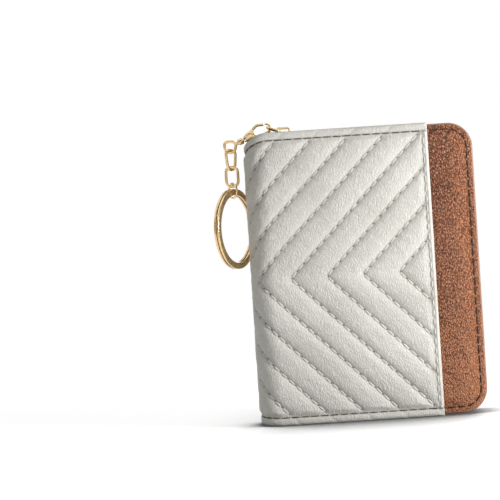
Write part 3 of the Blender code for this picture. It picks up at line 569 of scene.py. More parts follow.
seams = {
    "chevron": {"radius": 0.00027, "height": 0.00058, "taper": 0.55, "pitch": quilt["pitch"], "gap": 0.0006},
    "edge": {"radius": 0.00025, "height": 0.00046, "taper": 0.55, "pitch": 0.0035, "gap": 0.0006},
    "hem": {"radius": 0.00024, "height": 0.00028, "taper": 0.3, "pitch": 0.0036, "gap": 0.00004},
    "rim": {"radius": 0.00031, "height": 0.00036, "taper": 0.35, "pitch": 0.0036, "gap": 0.0004},
    "band": {"radius": 0.0002, "height": 0.00022, "taper": 0.55, "pitch": 0.003, "gap": 0.0007},
}


def stitchRuns(count, seam):
    # Nine places along each stitch of a seam
    points = np.linspace(seam["gap"] / 2, seam["pitch"] - seam["gap"] / 2, 9)
    return np.arange(count)[:, None] * seam["pitch"] + points


def straightRuns(length, seam):
    # The whole stitches that fit a straight seam, centred on it
    count = int(length / seam["pitch"])
    return stitchRuns(count, seam) + (length - count * seam["pitch"]) / 2


def stitchParts(path, normal, seam):
    # Each stitch rises from its hole, lies along the leather and dips into the next.
    # The path is shaped (stitches, places, 3)
    ahead = unitVectors(np.gradient(path, axis=1))
    across = unitVectors(np.cross(ahead, normal))
    up = np.cross(across, ahead)
    arch = np.sin(math.pi * np.linspace(0, 1, path.shape[1]))[:, None]
    swell = 1 - seam["taper"] + seam["taper"] * arch ** 0.5
    lift = seam["height"] * arch ** 0.4 - seam["radius"] * 0.9
    turn = fullTurn(8)
    ring = np.cos(turn)[:, None] * across[:, :, None] + np.sin(turn)[:, None] * up[:, :, None]
    loops = (path + lift * up)[:, :, None] + seam["radius"] * swell[:, None] * ring
    along = np.linspace(0, 7, path.shape[1])[:, None] + np.zeros(loops.shape[:3])
    uv = np.stack([along, np.broadcast_to(turn / math.pi, along.shape)], -1)
    return manySweeps(loops, uv=uv)


def wrapStitches(s, z, seam):
    x, y = sectionPoint(s, quiltDepth(s, z))
    return stitchParts(stackXyz(x, y, realHeight(s, z)), sectionNormal(s), seam)


def chevronStitches(side):
    # Both arms of every channel that crosses this side of the wrap
    low, high = sorted((0.0, side * quilt["edge"]))
    reach = quilt["hemLine"]
    first = math.floor((low - quilt["start"] - reach) / quilt["period"])
    last = math.ceil((high - quilt["start"]) / quilt["period"])
    runs = stitchRuns(int(reach * math.sqrt(2) / quilt["pitch"]) + 1, seams["chevron"])
    allS = []
    allZ = []
    for number in range(first, last + 1):
        for arm in (-1, 1):
            z = quilt["middle"] + arm * runs / math.sqrt(2)
            s = quilt["start"] + number * quilt["period"] + chevronRise(z)
            middleS = s[:, 4]
            inside = (middleS > low) & (middleS < high) & (np.abs(s).max(1) < quilt["seamLine"] - 0.0003)
            kept = inside & (np.abs(z - quilt["middle"]).max(1) < reach - 0.0002)
            allS.append(s[kept])
            allZ.append(z[kept])
    return np.concatenate(allS), np.concatenate(allZ)


def makeWrapThreads(label):
    side = -sides[label]
    up = straightRuns(wallet["height"] - 2 * quilt["hem"] - 0.001, seams["edge"]) + quilt["hem"] + 0.0005
    edge = wrapStitches(np.full_like(up, side * quilt["seamLine"]), up, seams["edge"])
    parts = [wrapStitches(*chevronStitches(side), seams["chevron"]), edge]
    storePiece(label + "_quilt_thread", parts, creamThread, hinge(label))
    along = side * straightRuns(quilt["edge"] - 0.0012, seams["hem"])
    heights = (quilt["hem"], wallet["height"] - quilt["hem"])
    hems = [wrapStitches(along, np.full_like(along, height), seams["hem"]) for height in heights]
    storePiece(label + "_hem_thread", hems, hemThread, hinge(label))


for label in sides:
    makeWrap(label)
    makeWrapThreads(label)
print("wrap quilted and stitched")

# Tan shell, lining and the three-sided zip strips

def rimSizes(inset, startX):
    # Of the inset rim: the corners' radius and the inset of their centres, then the lengths of a straight,
    # a corner and the opening edge
    radius = max(wallet["corner"] - inset, 0.0004)
    back = inset + radius
    tall = wallet["rimTop"] - wallet["rimInset"] - 2 * back
    return radius, back, wallet["width"] - back - startX, radius * math.pi / 2, tall


def rimLength(inset, startX):
    _, _, straight, bend, tall = rimSizes(inset, startX)
    return 2 * straight + tall + 2 * bend


def rimPoint(inset, run, startX):
    # Place and outward angle at a run along the inset rim: top, corner, opening edge, corner, bottom
    radius, back, straight, bend, tall = rimSizes(inset, startX)
    first = np.clip(run, 0, straight)
    turned = np.clip(run - straight, 0, bend) + np.clip(run - straight - bend - tall, 0, bend)
    down = np.clip(run - straight - bend, 0, tall)
    last = np.maximum(run - straight - 2 * bend - tall, 0)
    angle = math.pi / 2 - turned / radius
    x = wallet["spineX"] + startX + first + radius * np.cos(angle) - last
    return x, wallet["rimTop"] - back - down + radius * np.sin(angle), angle


def rimRows(profile, side, startX):
    # One row along the rim for each point of a profile of insets and distances from the middle plane.
    # Every row has the same number of points on each straight and corner
    rows = []
    for inset, y in profile:
        _, _, straight, bend, tall = rimSizes(inset, startX)
        stops = np.cumsum([0, straight, bend, tall, bend, straight])
        spans = zip(stops, stops[1:], (24, 14, 24, 14, 24))
        runs = [np.linspace(start, end, steps, endpoint=False) for start, end, steps in spans]
        x, z, _ = rimPoint(inset, np.append(np.concatenate(runs), stops[-1] - 1e-9), startX)
        rows.append(stackXyz(x, side * y, z))
    return np.array(rows)


def rimSheet(profile, side, startX):
    # A flat sheet with a shaped rim on three sides: rows along the rim, a face over each side and one end
    rows = rimRows(profile, side, startX)
    p, u = rows.shape[:2]
    end = [i * u for i in range(p)] + [i * u + u - 1 for i in reversed(range(p))]
    caps = [list(range(u))[::-1], list(range((p - 1) * u, p * u)), end]
    return {"points": rows.reshape(-1, 3), "quads": gridFaces(p, u), "caps": caps, "uv": None}


def rimStrip(profile, side, startX):
    # A narrow strip bent round the rim: a closed profile swept along it
    return sweep(np.swapaxes(rimRows(profile, side, startX), 0, 1))


def rimThread(label, name, inset, startX, y, seam, onFace):
    # A seam along the rim, sewn through the cover's face or through the narrow band round it
    x, z, angle = rimPoint(inset, straightRuns(rimLength(inset, startX), seam), startX)
    side = sides[label]
    normal = np.array([0, side, 0.0]) if onFace else stackXyz(np.cos(angle), 0.0, np.sin(angle))
    parts = [stitchParts(stackXyz(x, side * y, z), normal, seam)]
    storePiece(f"{label}_{name}", parts, brownThread, label + "_cover")


def lipArc(inset, inner, outer, steps):
    # Half a turn over the edge of a sheet, from its inner face to its outer face
    half = (outer - inner) / 2
    turn = np.linspace(-math.pi / 2, math.pi / 2, steps)
    return list(zip(inset + half - half * np.cos(turn), (outer + inner) / 2 + half * np.sin(turn)))


shell = {
    "outer": 0.0099,
    "inner": 0.0087,
    "start": 0.012,
    "stitchInset": 0.0023,
    "groove": (  # inset, and height over the face: a small bead beside the edge, then the stitched groove
        (0.0010, 0.00006), (0.0015, 0.00004), (0.0019, -0.0001), (0.0023, -0.0003), (0.0027, -0.0001),
    ),
    "crown": 0.0009,  # how far the padded field swells between the stitches and the wrap's edge
    "crownInsets": (0.0031, 0.007, 0.0166, 0.0185),  # its start, top and end, and the field's end
}
lining = {"outer": 0.0084, "inner": 0.0078, "inset": 0.0022, "start": 0.012, "turnIn": 0.002}


def makeShell(label):
    # Turned edge, lip, stitched groove and a flat field, read from the inner face round to the outer face
    outer = shell["outer"]
    profile = [(0.005, shell["inner"]), (0.0012, shell["inner"]), *lipArc(0, shell["inner"], outer, 11)]
    profile += [(inset, outer + rise) for inset, rise in shell["groove"]]
    # the field rises along a parabola from the groove, then falls along half a cosine wave
    first, highest, last, end = shell["crownInsets"]
    insets = np.concatenate([np.linspace(first, highest, 7), np.linspace(highest, last, 10)[1:], [end]])
    rising = 1 - (1 - (insets - first) / (highest - first)) ** 2
    falling = (1 + np.cos(math.pi * np.minimum((insets - highest) / (last - highest), 1))) / 2
    profile += list(zip(insets, outer + shell["crown"] * np.where(insets < highest, rising, falling)))
    sheet = rimSheet(profile, sides[label], shell["start"])
    perRow = len(sheet["quads"]) // (len(profile) - 1)
    # the lip's faces take the painted highlight
    trim = (paintedLipHighlight, 2 * perRow, 12 * perRow)
    storePiece(label + "_shell", [sheet], tanLeather, label + "_cover", label + "_panel", trim=trim)
    seamStart = quilt["edgeX"] + 0.0004
    rimThread(label, "rim_thread", shell["stitchInset"], seamStart, outer - 0.0002, seams["rim"], True)


def makeLining(label):
    inner, outer = lining["inner"], lining["outer"]
    deep = lining["inset"] + lining["turnIn"]
    profile = [(deep, inner), *lipArc(lining["inset"], inner, outer, 6), (deep, outer)]
    sheet = rimSheet(profile, sides[label], lining["start"])
    storePiece(label + "_cloth_lining", [sheet], blackCloth, label + "_cover", label + "_lining")


folds = {
    "shell": {"outer": 0.0022, "inner": 0.0032, "inset": 0.0008, "node": "spine_panel"},
    "lining": {"outer": 0.0037, "inner": 0.0041, "inset": 0.003, "node": "spine_lining"},
}
foldEnd = 0.0145


def makeFold(label, name, finish):
    # The part of a layer that goes round the spine: its section swept upwards, tucked inside the flat layer
    fold = folds[name]
    s = np.linspace(0, wrapRun(foldEnd), 40) * -sides[label]
    s[0] = -sides[label] * 1e-9
    s = np.concatenate([s, s[::-1]])
    depth = np.repeat([fold["outer"], fold["inner"]], 40)
    x, y = sectionPoint(s, depth)
    z = np.linspace(fold["inset"], wallet["height"] - fold["inset"], 12)[:, None]
    # the depth carries the map over the cut edges
    uv = np.stack(np.broadcast_arrays(s, z + (depth - fold["outer"])), -1) * uvPerMetre
    part = sweep(stackXyz(x, y, realHeight(s, z)), uv=uv)
    nodes = [fold["node"]] * (label == "front")
    storePiece(f"{label}_{name}_fold", [part], finish, hinge(label), *nodes)


band = {"inset": 0.001, "thick": 0.0009, "open": 0.005, "sewn": 0.0084, "round": 0.0003, "start": 0.011}
tape = {"inset": 0.0022, "thick": 0.00045, "open": 0.0039, "sewn": 0.0075, "round": 0.00015, "start": 0.0135}
teeth = {
    "inset": 0.002425,
    "start": 0.0155,
    "pitch": 0.003,
    "tooth": 0.0012,
    "cordY": 0.0033,
    "cord": 0.00062,
    "stations": (  # distance from the middle plane, half width, half height
        (0.00345, 0.00030, 0.00062), (0.00325, 0.00046, 0.00096), (0.0026, 0.00055, 0.00118),
        (0.0016, 0.00056, 0.00112), (0.0008, 0.00046, 0.00098), (0.0001, 0.00054, 0.00090),
        (-0.00045, 0.00050, 0.00078), (-0.00075, 0.00030, 0.00048),
    ),
}


def zipStrip(strip, side):
    profile = roundedBox(strip["thick"], strip["sewn"] - strip["open"], strip["round"])
    centre = (strip["inset"] + strip["thick"] / 2, (strip["sewn"] + strip["open"]) / 2)
    return rimStrip(profile + centre, side, strip["start"])


def makeZipStrips(label):
    side = sides[label]
    cover = label + "_cover"
    storePiece(label + "_tan_band", [zipStrip(band, side)], tanLeather, cover, label + "_zip_band")
    seamStart = band["start"] + 0.001
    rimThread(label, "band_thread", band["inset"], seamStart, band["open"] + 0.001, seams["band"], False)
    turn = fullTurn(10)
    cord = teeth["cord"] * np.stack([np.cos(turn), np.sin(turn)], -1) + (teeth["inset"], teeth["cordY"])
    parts = [zipStrip(tape, side), rimStrip(cord, side, tape["start"])]
    storePiece(label + "_cloth_tape", parts, blackCloth, cover, label + "_zip_tape")


def makeTeeth(label):
    # Each tooth is a short loft towards the other row: clamped legs, a waist and a rounded head
    side = sides[label]
    pitch = teeth["pitch"]
    lead = pitch / 4 if side < 0 else pitch * 3 / 4
    count = int((rimLength(teeth["inset"], teeth["start"]) - pitch) / pitch)
    run = lead + teeth["tooth"] / 2 + np.arange(count) * pitch
    x, z, angle = (v[:, None, None] for v in rimPoint(teeth["inset"], run, teeth["start"]))
    y, width, height = np.array(teeth["stations"]).T[:, :, None]
    a, b = squareTurn(fullTurn(12), 0.6)
    along = width * a
    out = height * b
    x = x + along * np.sin(angle) + out * np.cos(angle)
    z = z - along * np.cos(angle) + out * np.sin(angle)
    parts = [manySweeps(stackXyz(x, side * y, z))]
    storePiece(label + "_teeth", parts, teethGold, label + "_cover", label + "_zip_teeth", crease=50)


for label in sides:
    makeShell(label)
    makeFold(label, "shell", tanLeatherUv)
    makeLining(label)
    makeFold(label, "lining", blackClothUv)
    makeZipStrips(label)
    makeTeeth(label)
print("shell, lining and zip made")


def roundedCopy(name, node, finish, width, segments, body):
    # A copy of a CAD solid with its edges rounded
    bm = bmesh.new()
    bm.from_mesh(frame["nodes"][node].data)
    bmesh.ops.remove_doubles(bm, verts=bm.verts, dist=1e-6)
    bmesh.ops.dissolve_limit(bm, angle_limit=math.radians(1), verts=bm.verts, edges=bm.edges)
    edges = [e for e in bm.edges if e.is_manifold and e.calc_face_angle() > math.radians(25)]
    bmesh.ops.bevel(
        bm, geom=edges, offset=width, offset_type="OFFSET", segments=segments, profile=0.5,
        affect="EDGES", clamp_overlap=True,
    )
    bmesh.ops.remove_doubles(bm, verts=bm.verts, dist=1e-7)
    bmesh.ops.recalc_face_normals(bm, faces=bm.faces)
    mesh = bpy.data.meshes.new(name)
    bm.to_mesh(mesh)
    bm.free()
    finishPiece(name, mesh, finish, body, [node])


# Card leaves and the pleats between them

leaves = {
    "thickness": 0.0005,
    "wallShare": 0.86,
    "hemShare": 1.15,  # of that thickness
    "pitch": 0.0013,
    "start": 0.0093,
    "end": 0.069,
    "low": 0.0065,
    "high": 0.1015,
    "hem": 0.0045,
    "follow": 0.06,  # share of a cover's turn that a leaf beside the middle slot makes
    "coverY": 0.0078,
    "pleatDepth": 0.006,
    "outerPleatDepth": 0.0075,
    "pleatRise": 0.0004,
    "gauge": 0.00012,
}


def leafY(number):
    return (number - 5.5) * leaves["pitch"]


def makeLeaf(number):
    # A folded sheet: its section has a round free edge and a hem a little thicker than the rest
    half = leaves["thickness"] / 2
    hemX = leaves["end"] - leaves["hem"]
    hemHalf = half * leaves["hemShare"]
    wallX = np.append(np.linspace(leaves["start"], hemX, 14), hemX + 0.0003)
    wallY = np.append(np.full(14, half * leaves["wallShare"]), hemHalf)
    bend = np.linspace(math.pi / 2, -math.pi / 2, 7)
    x = np.concatenate([wallX, leaves["end"] - half + half * np.cos(bend), wallX[::-1]]) + wallet["spineX"]
    y = np.concatenate([wallY, hemHalf * np.sin(bend), -wallY[::-1]]) + leafY(number)
    z = np.linspace(leaves["low"], leaves["high"], 40)[:, None]
    wave = 0.00004 * softNoise(x, z, 0.03, 40 + number)
    name = f"leaf_{number:02d}"
    piece = storePiece(name, [sweep(stackXyz(x, y + wave, z))], blackCloth, name, "pocket_" + name)


def smoothInverse(share):
    # The t at which 3tt - 2ttt reaches a share
    return 0.5 - math.sin(math.asin(1 - 2 * share) / 3)


def pleatPart(index, yNear, yFar, edge, sign, gauge):
    # A thin V of cloth that hangs into one slot, extruded along x.
    # The middle slot's V is shared by both covers, so each side makes one wall of it
    depth = leaves["pleatDepth"] if index < 5 else leaves["outerPleatDepth"]
    tip = edge - sign * depth
    rise = edge + sign * leaves["pleatRise"]
    if index == 0:
        outline = [(yNear, tip), (yFar, rise), (yFar - gauge, rise), (yNear, tip + sign * 0.0004)]
    else:
        near = yNear + gauge
        far = yFar - gauge
        middle = (near + far) / 2
        outline = [(near, rise), (middle, tip), (far, rise), (far - gauge, rise)]
        outline += [(middle, tip + sign * gauge * 3), (near + gauge, rise)]
    x = np.linspace(leaves["start"], leaves["end"] - 0.0005, 16)[:, None] + wallet["spineX"]
    return sweep(stackXyz(x, *np.array(outline).T))


def makePleats():
    # Each pleat gets a blend worked out from the share of the turn at each leaf that it joins; the blend is
    # not used, so the pleat is fixed where it stands
    for place, edge, sign in (("upper", leaves["high"], 1), ("lower", leaves["low"], -1)):
        for label, side in sides.items():
            numbers = [5, 4, 3, 2, 1] if side < 0 else [6, 7, 8, 9, 10]
            stops = [(0.0, 0.0)]
            for number in numbers:
                y = leafY(number)
                stops.append((y, abs(y) / (leaves["pitch"] * 0.5) * leaves["follow"]))
            stops.append((side * leaves["coverY"], 1.0))
            for index, ((yNear, low), (yFar, high)) in enumerate(zip(stops, stops[1:])):
                part = pleatPart(index, yNear, yFar, edge, sign, side * leaves["gauge"])
                tNear = smoothInverse(low)
                perT = (yFar - yNear) / (smoothInverse(high) - tNear)
                start = yNear - tNear * perT
                blend = (label + "_cover", (0, start, 0), (0, start + perT, 0))
                nodes = [place + "_gusset"] * (label == "front" and index == 0)
                storePiece(f"{label}_{place}_pleat_{index + 1}", [part], blackCloth, blend, *nodes, crease=30)


for number in range(1, 11):
    makeLeaf(number)
makePleats()
roundedCopy("leaf_root", "pocket_base", blackCloth, 0.00012, 2, "spine")
for label in sides:
    roundedCopy(label + "_slip", label + "_slip_pocket", blackCloth, 0.00012, 2, label + "_cover")
print("leaves and pleats made")

# Zip slider, clasp, chain and key ring

chain = {  # turns are in degrees from the wallet's face, and a link without a width is round
    "link_upper": {
        "node": "chain_link_1", "body": "link_1", "halfWidth": 0.0022, "wire": 0.00108,
        "turn": 44, "square": 0.85, "taper": 0.2,
    },
    "link_lower": {
        "node": "chain_link_2", "body": "link_2", "halfWidth": 0.0022, "wire": 0.00108,
        "turn": 0, "square": 0.8, "taper": 0.0,
    },
    "small_ring": {
        "node": "jump_ring", "body": "jump", "halfWidth": None, "wire": 0.00078,
        "turn": 122, "square": 1.0, "taper": 0.0,
    },
}
keyRing = {
    "turn": 62, "band": 0.0024, "strip": 0.00085, "bevel": 0.00022,
    "gap": 0.00033,  # between the two turns
    "jog": 40, "tip": 4,  # degrees that the sideways jog takes, and from its end to the strip's tip
}
pullLoop = {"halfWidth": 0.0022, "wire": 0.001, "square": 0.5}
swivel = {
    "eyeRise": 0.0025,
    "eye": {"halfWidth": 0.00205, "wire": 0.00108, "turn": 0, "square": 0.8, "taper": 0.16},
    "profile": (  # run and radius: a thin spindle across the clearance to the claw, the barrel and its stem
        (-0.00026, 0.00055), (-0.00002, 0.00055), (0, 0.0007), (0.0001, 0.00105), (0.0004, 0.0012),
        (0.0009, 0.0012), (0.0010, 0.00108), (0.0012, 0.00108), (0.0013, 0.0012), (0.0017, 0.00115),
        (0.0021, 0.0008), (0.0023, 0.0006),
    ),
}
clasp = {
    "hookRadius": 0.00155,  # middle of the hook's wire round the loop's bar
    "hookCentre": 0.00035,
    "tipAngle": 104,
    "hookWidth": 0.00047,
    "hookDeep": 0.00083,
    "neck": (  # run, rise, half width and half thickness, from the swivel's end to the arm
        (0.0098, 0.0, 0.00085, 0.00075), (0.0095, 0.0, 0.00105, 0.0009), (0.0086, 0.0, 0.0014, 0.00095),
        (0.0077, 0.0, 0.0018, 0.00095), (0.0071, -0.00005, 0.00195, 0.00095),
        (0.0066, -0.0002, 0.0018, 0.00095), (0.0061, -0.0006, 0.0014, 0.00093),
        (0.0055, -0.00105, 0.00098, 0.0009), (0.0047, -0.0014, 0.00068, 0.00088),
        (0.0037, -0.00153, 0.00053, 0.00086), (0.0024, -0.00155, 0.00048, 0.00084),
        (0.0011, -0.00155, 0.00047, 0.00083),
    ),
    "tip": (0.00024, 0.00006, 0.0002, 0.0003),  # run and rise from the hook's end, and half sizes
    "pivot": (0.0057, 0.00155),
    "earPlace": (0.0059, 0.00145),
    "earRadius": 0.00085,
    "ears": ((-0.0009, -0.00052), (0.00052, 0.0009)),  # where each lies across the clasp
    "rivetRadius": 0.0003,
    "rivetHalf": 0.00102,
    "gateStart": 0.006,
    "gateTip": 0.00042,
    "gateRise": 0.00095,
    "gateWidth": (0.00042, 0.00008),  # half width at its ends, and what its middle adds
    "gateDeep": (0.0007, 0.00015),
    "gateRoot": 0.00046,  # half thickness between the ears
}
claspStart = np.array(joints["clasp_sway"]["pos_m"])
claspAxis = -np.array(joints["swivel_turn"]["axis"])
claspUp = np.cross(sideways, claspAxis)


def boxCentre(node):
    low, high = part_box(node)
    return (np.array(low) + np.array(high)) / 2


def ringSweep(path, normal, radius, around=18):
    # A round wire along a closed flat path whose plane has the given normal
    across = np.cross(unitVectors(np.roll(path, -1, 0) - np.roll(path, 1, 0)), normal)
    turn = fullTurn(around)[:, None]
    ring = np.cos(turn) * across[:, None] + np.sin(turn) * normal
    return sweep(path[:, None] + radius * ring, closed=True)


def hangingLoop(centre, halfHeight, link, steps=72):
    # An upright wire loop: two round ends joined by straights, drawn in towards its foot by taper
    halfWidth = link["halfWidth"] or halfHeight
    turn = math.radians(link["turn"])
    wide, high = squareTurn(fullTurn(steps), link["square"])
    rise = halfWidth * high + max(halfHeight - halfWidth, 0) * np.tanh(6 * high)
    width = halfWidth * wide * (1 + link["taper"] * rise / halfHeight)
    along = np.array([math.cos(turn), math.sin(turn), 0])
    path = centre + width[:, None] * along + rise[:, None] * upwards
    return ringSweep(path, np.array([math.sin(turn), -math.cos(turn), 0]), link["wire"] / 2)


def makeLink(name, link):
    low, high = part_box(link["node"])
    loop = hangingLoop(boxCentre(link["node"]), (high[2] - low[2] - link["wire"]) / 2, link)
    storePiece(name, [loop], paleGold, link["body"], link["node"])


def makeKeyRing():
    # One flat strip in two turns side by side, with a smooth sideways jog where the first turn ends
    low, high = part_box("key_ring")
    radius = (high[2] - low[2]) / 2 - keyRing["band"] / 2
    turn = math.radians(keyRing["turn"])
    along = np.array([math.cos(turn), math.sin(turn), 0])
    axis = np.cross(along, upwards)
    centre = np.array([boxCentre("chain_link_1")[0], 0, (low[2] + high[2]) / 2])
    jog = math.radians(keyRing["jog"])
    tip = math.radians(keyRing["tip"])
    angle = np.linspace(0, 4 * math.pi - jog - 2 * tip, 300)[:, None]
    share = smooth(angle, 2 * math.pi - tip - jog, 2 * math.pi - tip)
    middle = centre + (keyRing["strip"] + keyRing["gap"]) / 2 * (2 * share - 1) * axis
    outwards = np.cos(angle) * along + np.sin(angle) * upwards
    across, deep = roundedBox(keyRing["band"], keyRing["strip"], keyRing["bevel"]).T[:, :, None]
    loops = middle[:, None] + (radius + across) * outwards[:, None] + deep * axis
    storePiece("split_ring", [sweep(loops)], paleGold, "ring", "key_ring")


def makeBail():
    # A wire loop with round shoulders between the bridge and the clasp
    pivot = np.array(joints["bail_swing"]["pos_m"])
    length = np.linalg.norm(claspStart - pivot)
    direction = (claspStart - pivot) / length
    u, v = squareTurn(fullTurn(64)[:, None], pullLoop["square"])
    path = pivot + length / 2 * (1 + u) * direction + pullLoop["halfWidth"] * v * sideways
    loop = ringSweep(path, np.cross(direction, sideways), pullLoop["wire"] / 2, 16)
    storePiece("pull_loop", [loop], paleGold, "bail", "slider_bail")


def claspPoints(origin, u, v, y):
    # The clasp lies along its axis: u runs to the chain, v is upwards and y across
    u, v, y = (value[..., None] for value in np.broadcast_arrays(u, v, y))
    return origin + u * claspAxis + v * claspUp + y * sideways


def claspSweep(stations):
    # Skins rounded sections along a path in the clasp's plane. Station: u, v, half width, half thickness
    u, v, width, deep = np.array(stations).T[:, :, None]
    ahead = unitVectors(np.gradient(np.hstack([u, v]), axis=0))
    a, b = squareTurn(fullTurn(20), 0.8)
    across = width * a
    return sweep(claspPoints(claspStart, u - across * ahead[:, 1:], v + across * ahead[:, :1], deep * b))


def claspPin(u, v, radius, low, high):
    # A round pin or plate across the clasp, with softened rims
    soft = min(0.00012, (high - low) / 3)
    y = np.array([low, low + soft, high - soft, high])[:, None]
    r = np.array([radius - soft, radius, radius, radius - soft])[:, None]
    turn = fullTurn(20)
    return sweep(claspPoints(claspStart, u + r * np.cos(turn), v + r * np.sin(turn), y))


def makeSwivel():
    # A turned barrel on the clasp's axis, and a round eye
    start = np.array(joints["swivel_turn"]["pos_m"])
    radius = swivel["eye"]["halfWidth"]
    eye = np.array([boxCentre("chain_link_1")[0], 0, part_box("clasp_swivel")[0][2] + swivel["eyeRise"]])
    profile = [*swivel["profile"], (np.linalg.norm(eye - start) - radius, 0.00055)]
    u, r = np.array(profile).T[:, :, None]
    turn = fullTurn(24)
    barrel = sweep(claspPoints(start, u, r * np.cos(turn), r * np.sin(turn)))
    loop = hangingLoop(eye, radius, swivel["eye"], 56)
    storePiece("swivel_eye", [barrel, loop], paleGold, "swivel", "clasp_swivel")


def makeClasp():
    # The claw swells from its neck, narrows into one arm and rounds the loop's bar
    share = np.linspace(0.06, 1, 14)
    angle = -math.pi / 2 - share * (1.5 * math.pi - math.radians(clasp["tipAngle"]))
    u = clasp["hookCentre"] + clasp["hookRadius"] * np.cos(angle)
    v = clasp["hookRadius"] * np.sin(angle)
    width = clasp["hookWidth"] * (1 - 0.3 * share ** 3)
    hook = np.stack([u, v, width, clasp["hookDeep"] - 0.0003 * share ** 2], -1)
    tip = clasp["tip"] + np.array([u[-1], v[-1], 0, 0])
    claw = claspSweep(np.vstack([clasp["neck"], hook, tip]))
    ears = [claspPin(*clasp["earPlace"], clasp["earRadius"], *ends) for ends in clasp["ears"]]
    rivet = claspPin(*clasp["pivot"], clasp["rivetRadius"], -clasp["rivetHalf"], clasp["rivetHalf"])
    storePiece("clasp_hook", [claw, *ears, rivet], paleGold, "clasp", "clasp_body")


def makeGate():
    # An arched lever, thin between the ears
    t = np.linspace(0, 1, 18)
    arch = np.sin(math.pi * t)
    u = clasp["gateStart"] + (clasp["gateTip"] - clasp["gateStart"]) * t
    v = clasp["pivot"][1] + clasp["gateRise"] * arch ** 1.3
    width = clasp["gateWidth"][0] + clasp["gateWidth"][1] * arch
    width[[0, -1]] = 0.0002
    deep = np.where(t < 0.2, clasp["gateRoot"], clasp["gateDeep"][0] + clasp["gateDeep"][1] * arch)
    deep[-1] = 0.0004
    lever = claspSweep(np.stack([u, v, width, deep], -1))
    storePiece("clasp_lever", [lever], paleGold, "gate", "clasp_gate")


for name, link in chain.items():
    makeLink(name, link)
makeKeyRing()
makeBail()
makeSwivel()
makeClasp()
makeGate()
roundedCopy("slider_top", "slider_body", paleGold, 0.0003, 3, "slider")
roundedCopy("slider_under", "slider_inner_plate", paleGold, 0.0003, 3, "slider")
print("metalwork made")

# Floor, light and camera

studio = {
    "floorSize": 6.0,
    "worldLight": 0.37,
    "floorColour": 0.8,
    "floorGlow": 0.55,
    "shadeReach": 0.14,  # how far round the wallet the floor darkens
    "shadeStops": (0.49, 0.84),  # openness at which the floor is darkest and fully pale
    "shadeLow": 0.13,
    "shadeFade": (0.04, 0.066),  # the key lamp stands to the right, so the shade dies out on that side
    "whiteFrom": (0.16, 0.42),  # distance at which the floor turns into the white backdrop
}
lamps = {  # place, size and power
    "keyLamp": ((0.27, -0.19, 0.115), 0.11, 1.12),
    "topLamp": ((-0.1, -0.15, 0.9), 0.6, 0.5),
    "backLamp": ((0.3, 0.62, 0.45), 0.5, 1.7),
}
cards = {  # place, width and height of dark cards out of view, which only the metal reflects
    "darkCardLeft": ((-0.50, -0.55, 0.05), 0.6, 0.8),
    "darkCardTop": ((0.0, -0.5, 0.65), 0.7, 0.45),
    "darkCardBack": ((-0.35, 0.65, 0.45), 0.8, 0.5),
}
target = Vector((0, 0, wallet["height"] / 2))


def seenBy(tree):
    # One for rays from the camera, a mirror or glass, and zero for light that bounces
    rays = addNode(tree, "LightPath").outputs
    direct = mathNode(tree, "MAXIMUM", rays["Is Camera Ray"], rays["Is Glossy Ray"])
    return mathNode(tree, "MAXIMUM", direct, rays["Is Transmission Ray"])


def addPanel(name, width, tall, finish, turn=Matrix.Identity(3), place=(0, 0, 0)):
    # A stage rectangle of one face about its place
    corners = ((-width / 2, -tall / 2), (width / 2, -tall / 2), (width / 2, tall / 2), (-width / 2, tall / 2))
    mesh = bpy.data.meshes.new(name)
    mesh.from_pydata([turn @ Vector((*corner, 0)) + Vector(place) for corner in corners], [], [(0, 1, 2, 3)])
    mesh.materials.append(finish)
    panel = addObject(name, mesh)
    return panel


def makeFloor():
    # A pale floor with a painted shadow round the wallet, darkest where the wallet hides most of the sky, and
    # pure white further off for rays that see it
    material, tree, shader = newFinish("paleFloor", 0.9, specular=0.0)
    openness = addNode(tree, "AmbientOcclusion", {"Distance": studio["shadeReach"]}, samples=8).outputs["AO"]
    shade = rangeNode(tree, openness, *studio["shadeStops"], studio["shadeLow"], 1.0, kind="SMOOTHSTEP")
    coords = surfaceCoords(tree, False)
    toRight = addNode(tree, "SeparateXYZ", {0: coords}).outputs[0]
    shade = mathNode(tree, "MAXIMUM", shade, rangeNode(tree, toRight, *studio["shadeFade"]))
    tree.links.new(mathNode(tree, "MULTIPLY", shade, studio["floorColour"]), shader.inputs["Base Color"])
    glow = addNode(tree, "Emission", {"Strength": mathNode(tree, "MULTIPLY", shade, studio["floorGlow"])})
    lit = addNode(tree, "AddShader", {0: shader.outputs[0], 1: glow.outputs[0]})
    distance = addNode(tree, "VectorMath", {0: coords}, operation="LENGTH").outputs["Value"]
    beyond = rangeNode(tree, distance, *studio["whiteFrom"])
    white = addNode(tree, "Emission", {"Strength": 1.0})
    shown = addNode(tree, "MixShader", {0: beyond, 1: lit.outputs[0], 2: white.outputs[0]})
    mix = addNode(tree, "MixShader", {0: seenBy(tree), 1: shader.outputs[0], 2: shown.outputs[0]})
    tree.links.new(mix.outputs[0], tree.nodes["Material Output"].inputs["Surface"])
    addPanel("floor", studio["floorSize"], studio["floorSize"], material)


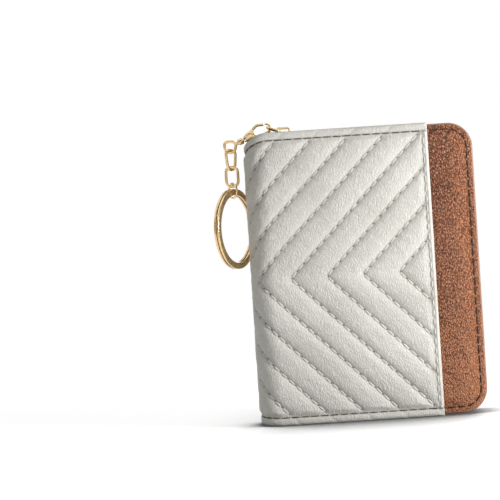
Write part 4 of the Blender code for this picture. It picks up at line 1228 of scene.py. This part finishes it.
def makeWorld():
    world = bpy.data.worlds.new("studio")
    world.use_nodes = True
    tree = world.node_tree
    background = tree.nodes["Background"]
    strength = rangeNode(tree, seenBy(tree), toLow=studio["worldLight"])
    tree.links.new(strength, background.inputs["Strength"])
    background.inputs["Color"].default_value = (1, 1, 1, 1)
    bpy.context.scene.world = world


def aimFrom(place):
    return (target - Vector(place)).to_track_quat("-Z", "Y")


def addLamp(name, place, size, power):
    lamp = bpy.data.lights.new(name, "AREA")
    lamp.shape = "DISK"
    lamp.size = size
    lamp.energy = power
    holder = addObject(name, lamp)
    holder.location = place
    holder.rotation_euler = aimFrom(place).to_euler()


def addCard(name, place, width, tall):
    material, _, shader = newFinish(name + "Paint", 0.9, specular=0.1)
    shader.inputs["Base Color"].default_value = (0.05, 0.035, 0.025, 1)
    card = addPanel(name, width, tall, material, aimFrom(place).to_matrix(), place)
    card.visible_camera = False
    card.visible_diffuse = False
    card.visible_shadow = False


view = {
    "azimuth": -2.7, "elevation": 2.0, "roll": -3.62, "distance": 0.8, "lens": 154.7, "sensor": 36.0,
    "frame": 500, "targetPixel": (347.2, 274.0),
}


def makeCamera():
    # The photograph's angle, with the wallet's middle where the photograph has it
    azimuth = math.radians(view["azimuth"])
    elevation = math.radians(view["elevation"])
    level = math.cos(elevation)
    back = Vector((math.sin(azimuth) * level, -math.cos(azimuth) * level, math.sin(elevation)))
    camera = addObject("camera", bpy.data.cameras.new("camera"))
    camera.data.lens = view["lens"]
    camera.data.sensor_width = view["sensor"]
    camera.location = target + back * view["distance"]
    turn = (-back).to_track_quat("-Z", "Y").to_matrix() @ Matrix.Rotation(math.radians(view["roll"]), 3, "Z")
    perPixel = view["sensor"] / view["lens"] / view["frame"]
    across, down = ((pixel - view["frame"] / 2) * perPixel for pixel in view["targetPixel"])
    turn = turn @ Matrix.Rotation(math.atan(across), 3, "Y") @ Matrix.Rotation(math.atan(down), 3, "X")
    camera.rotation_euler = turn.to_euler()
    bpy.context.scene.camera = camera


makeFloor()
makeWorld()
for name, lamp in lamps.items():
    addLamp(name, *lamp)
for name, card in cards.items():
    addCard(name, *card)
makeCamera()
bpy.context.scene.view_settings.view_transform = "Standard"
print("studio made")
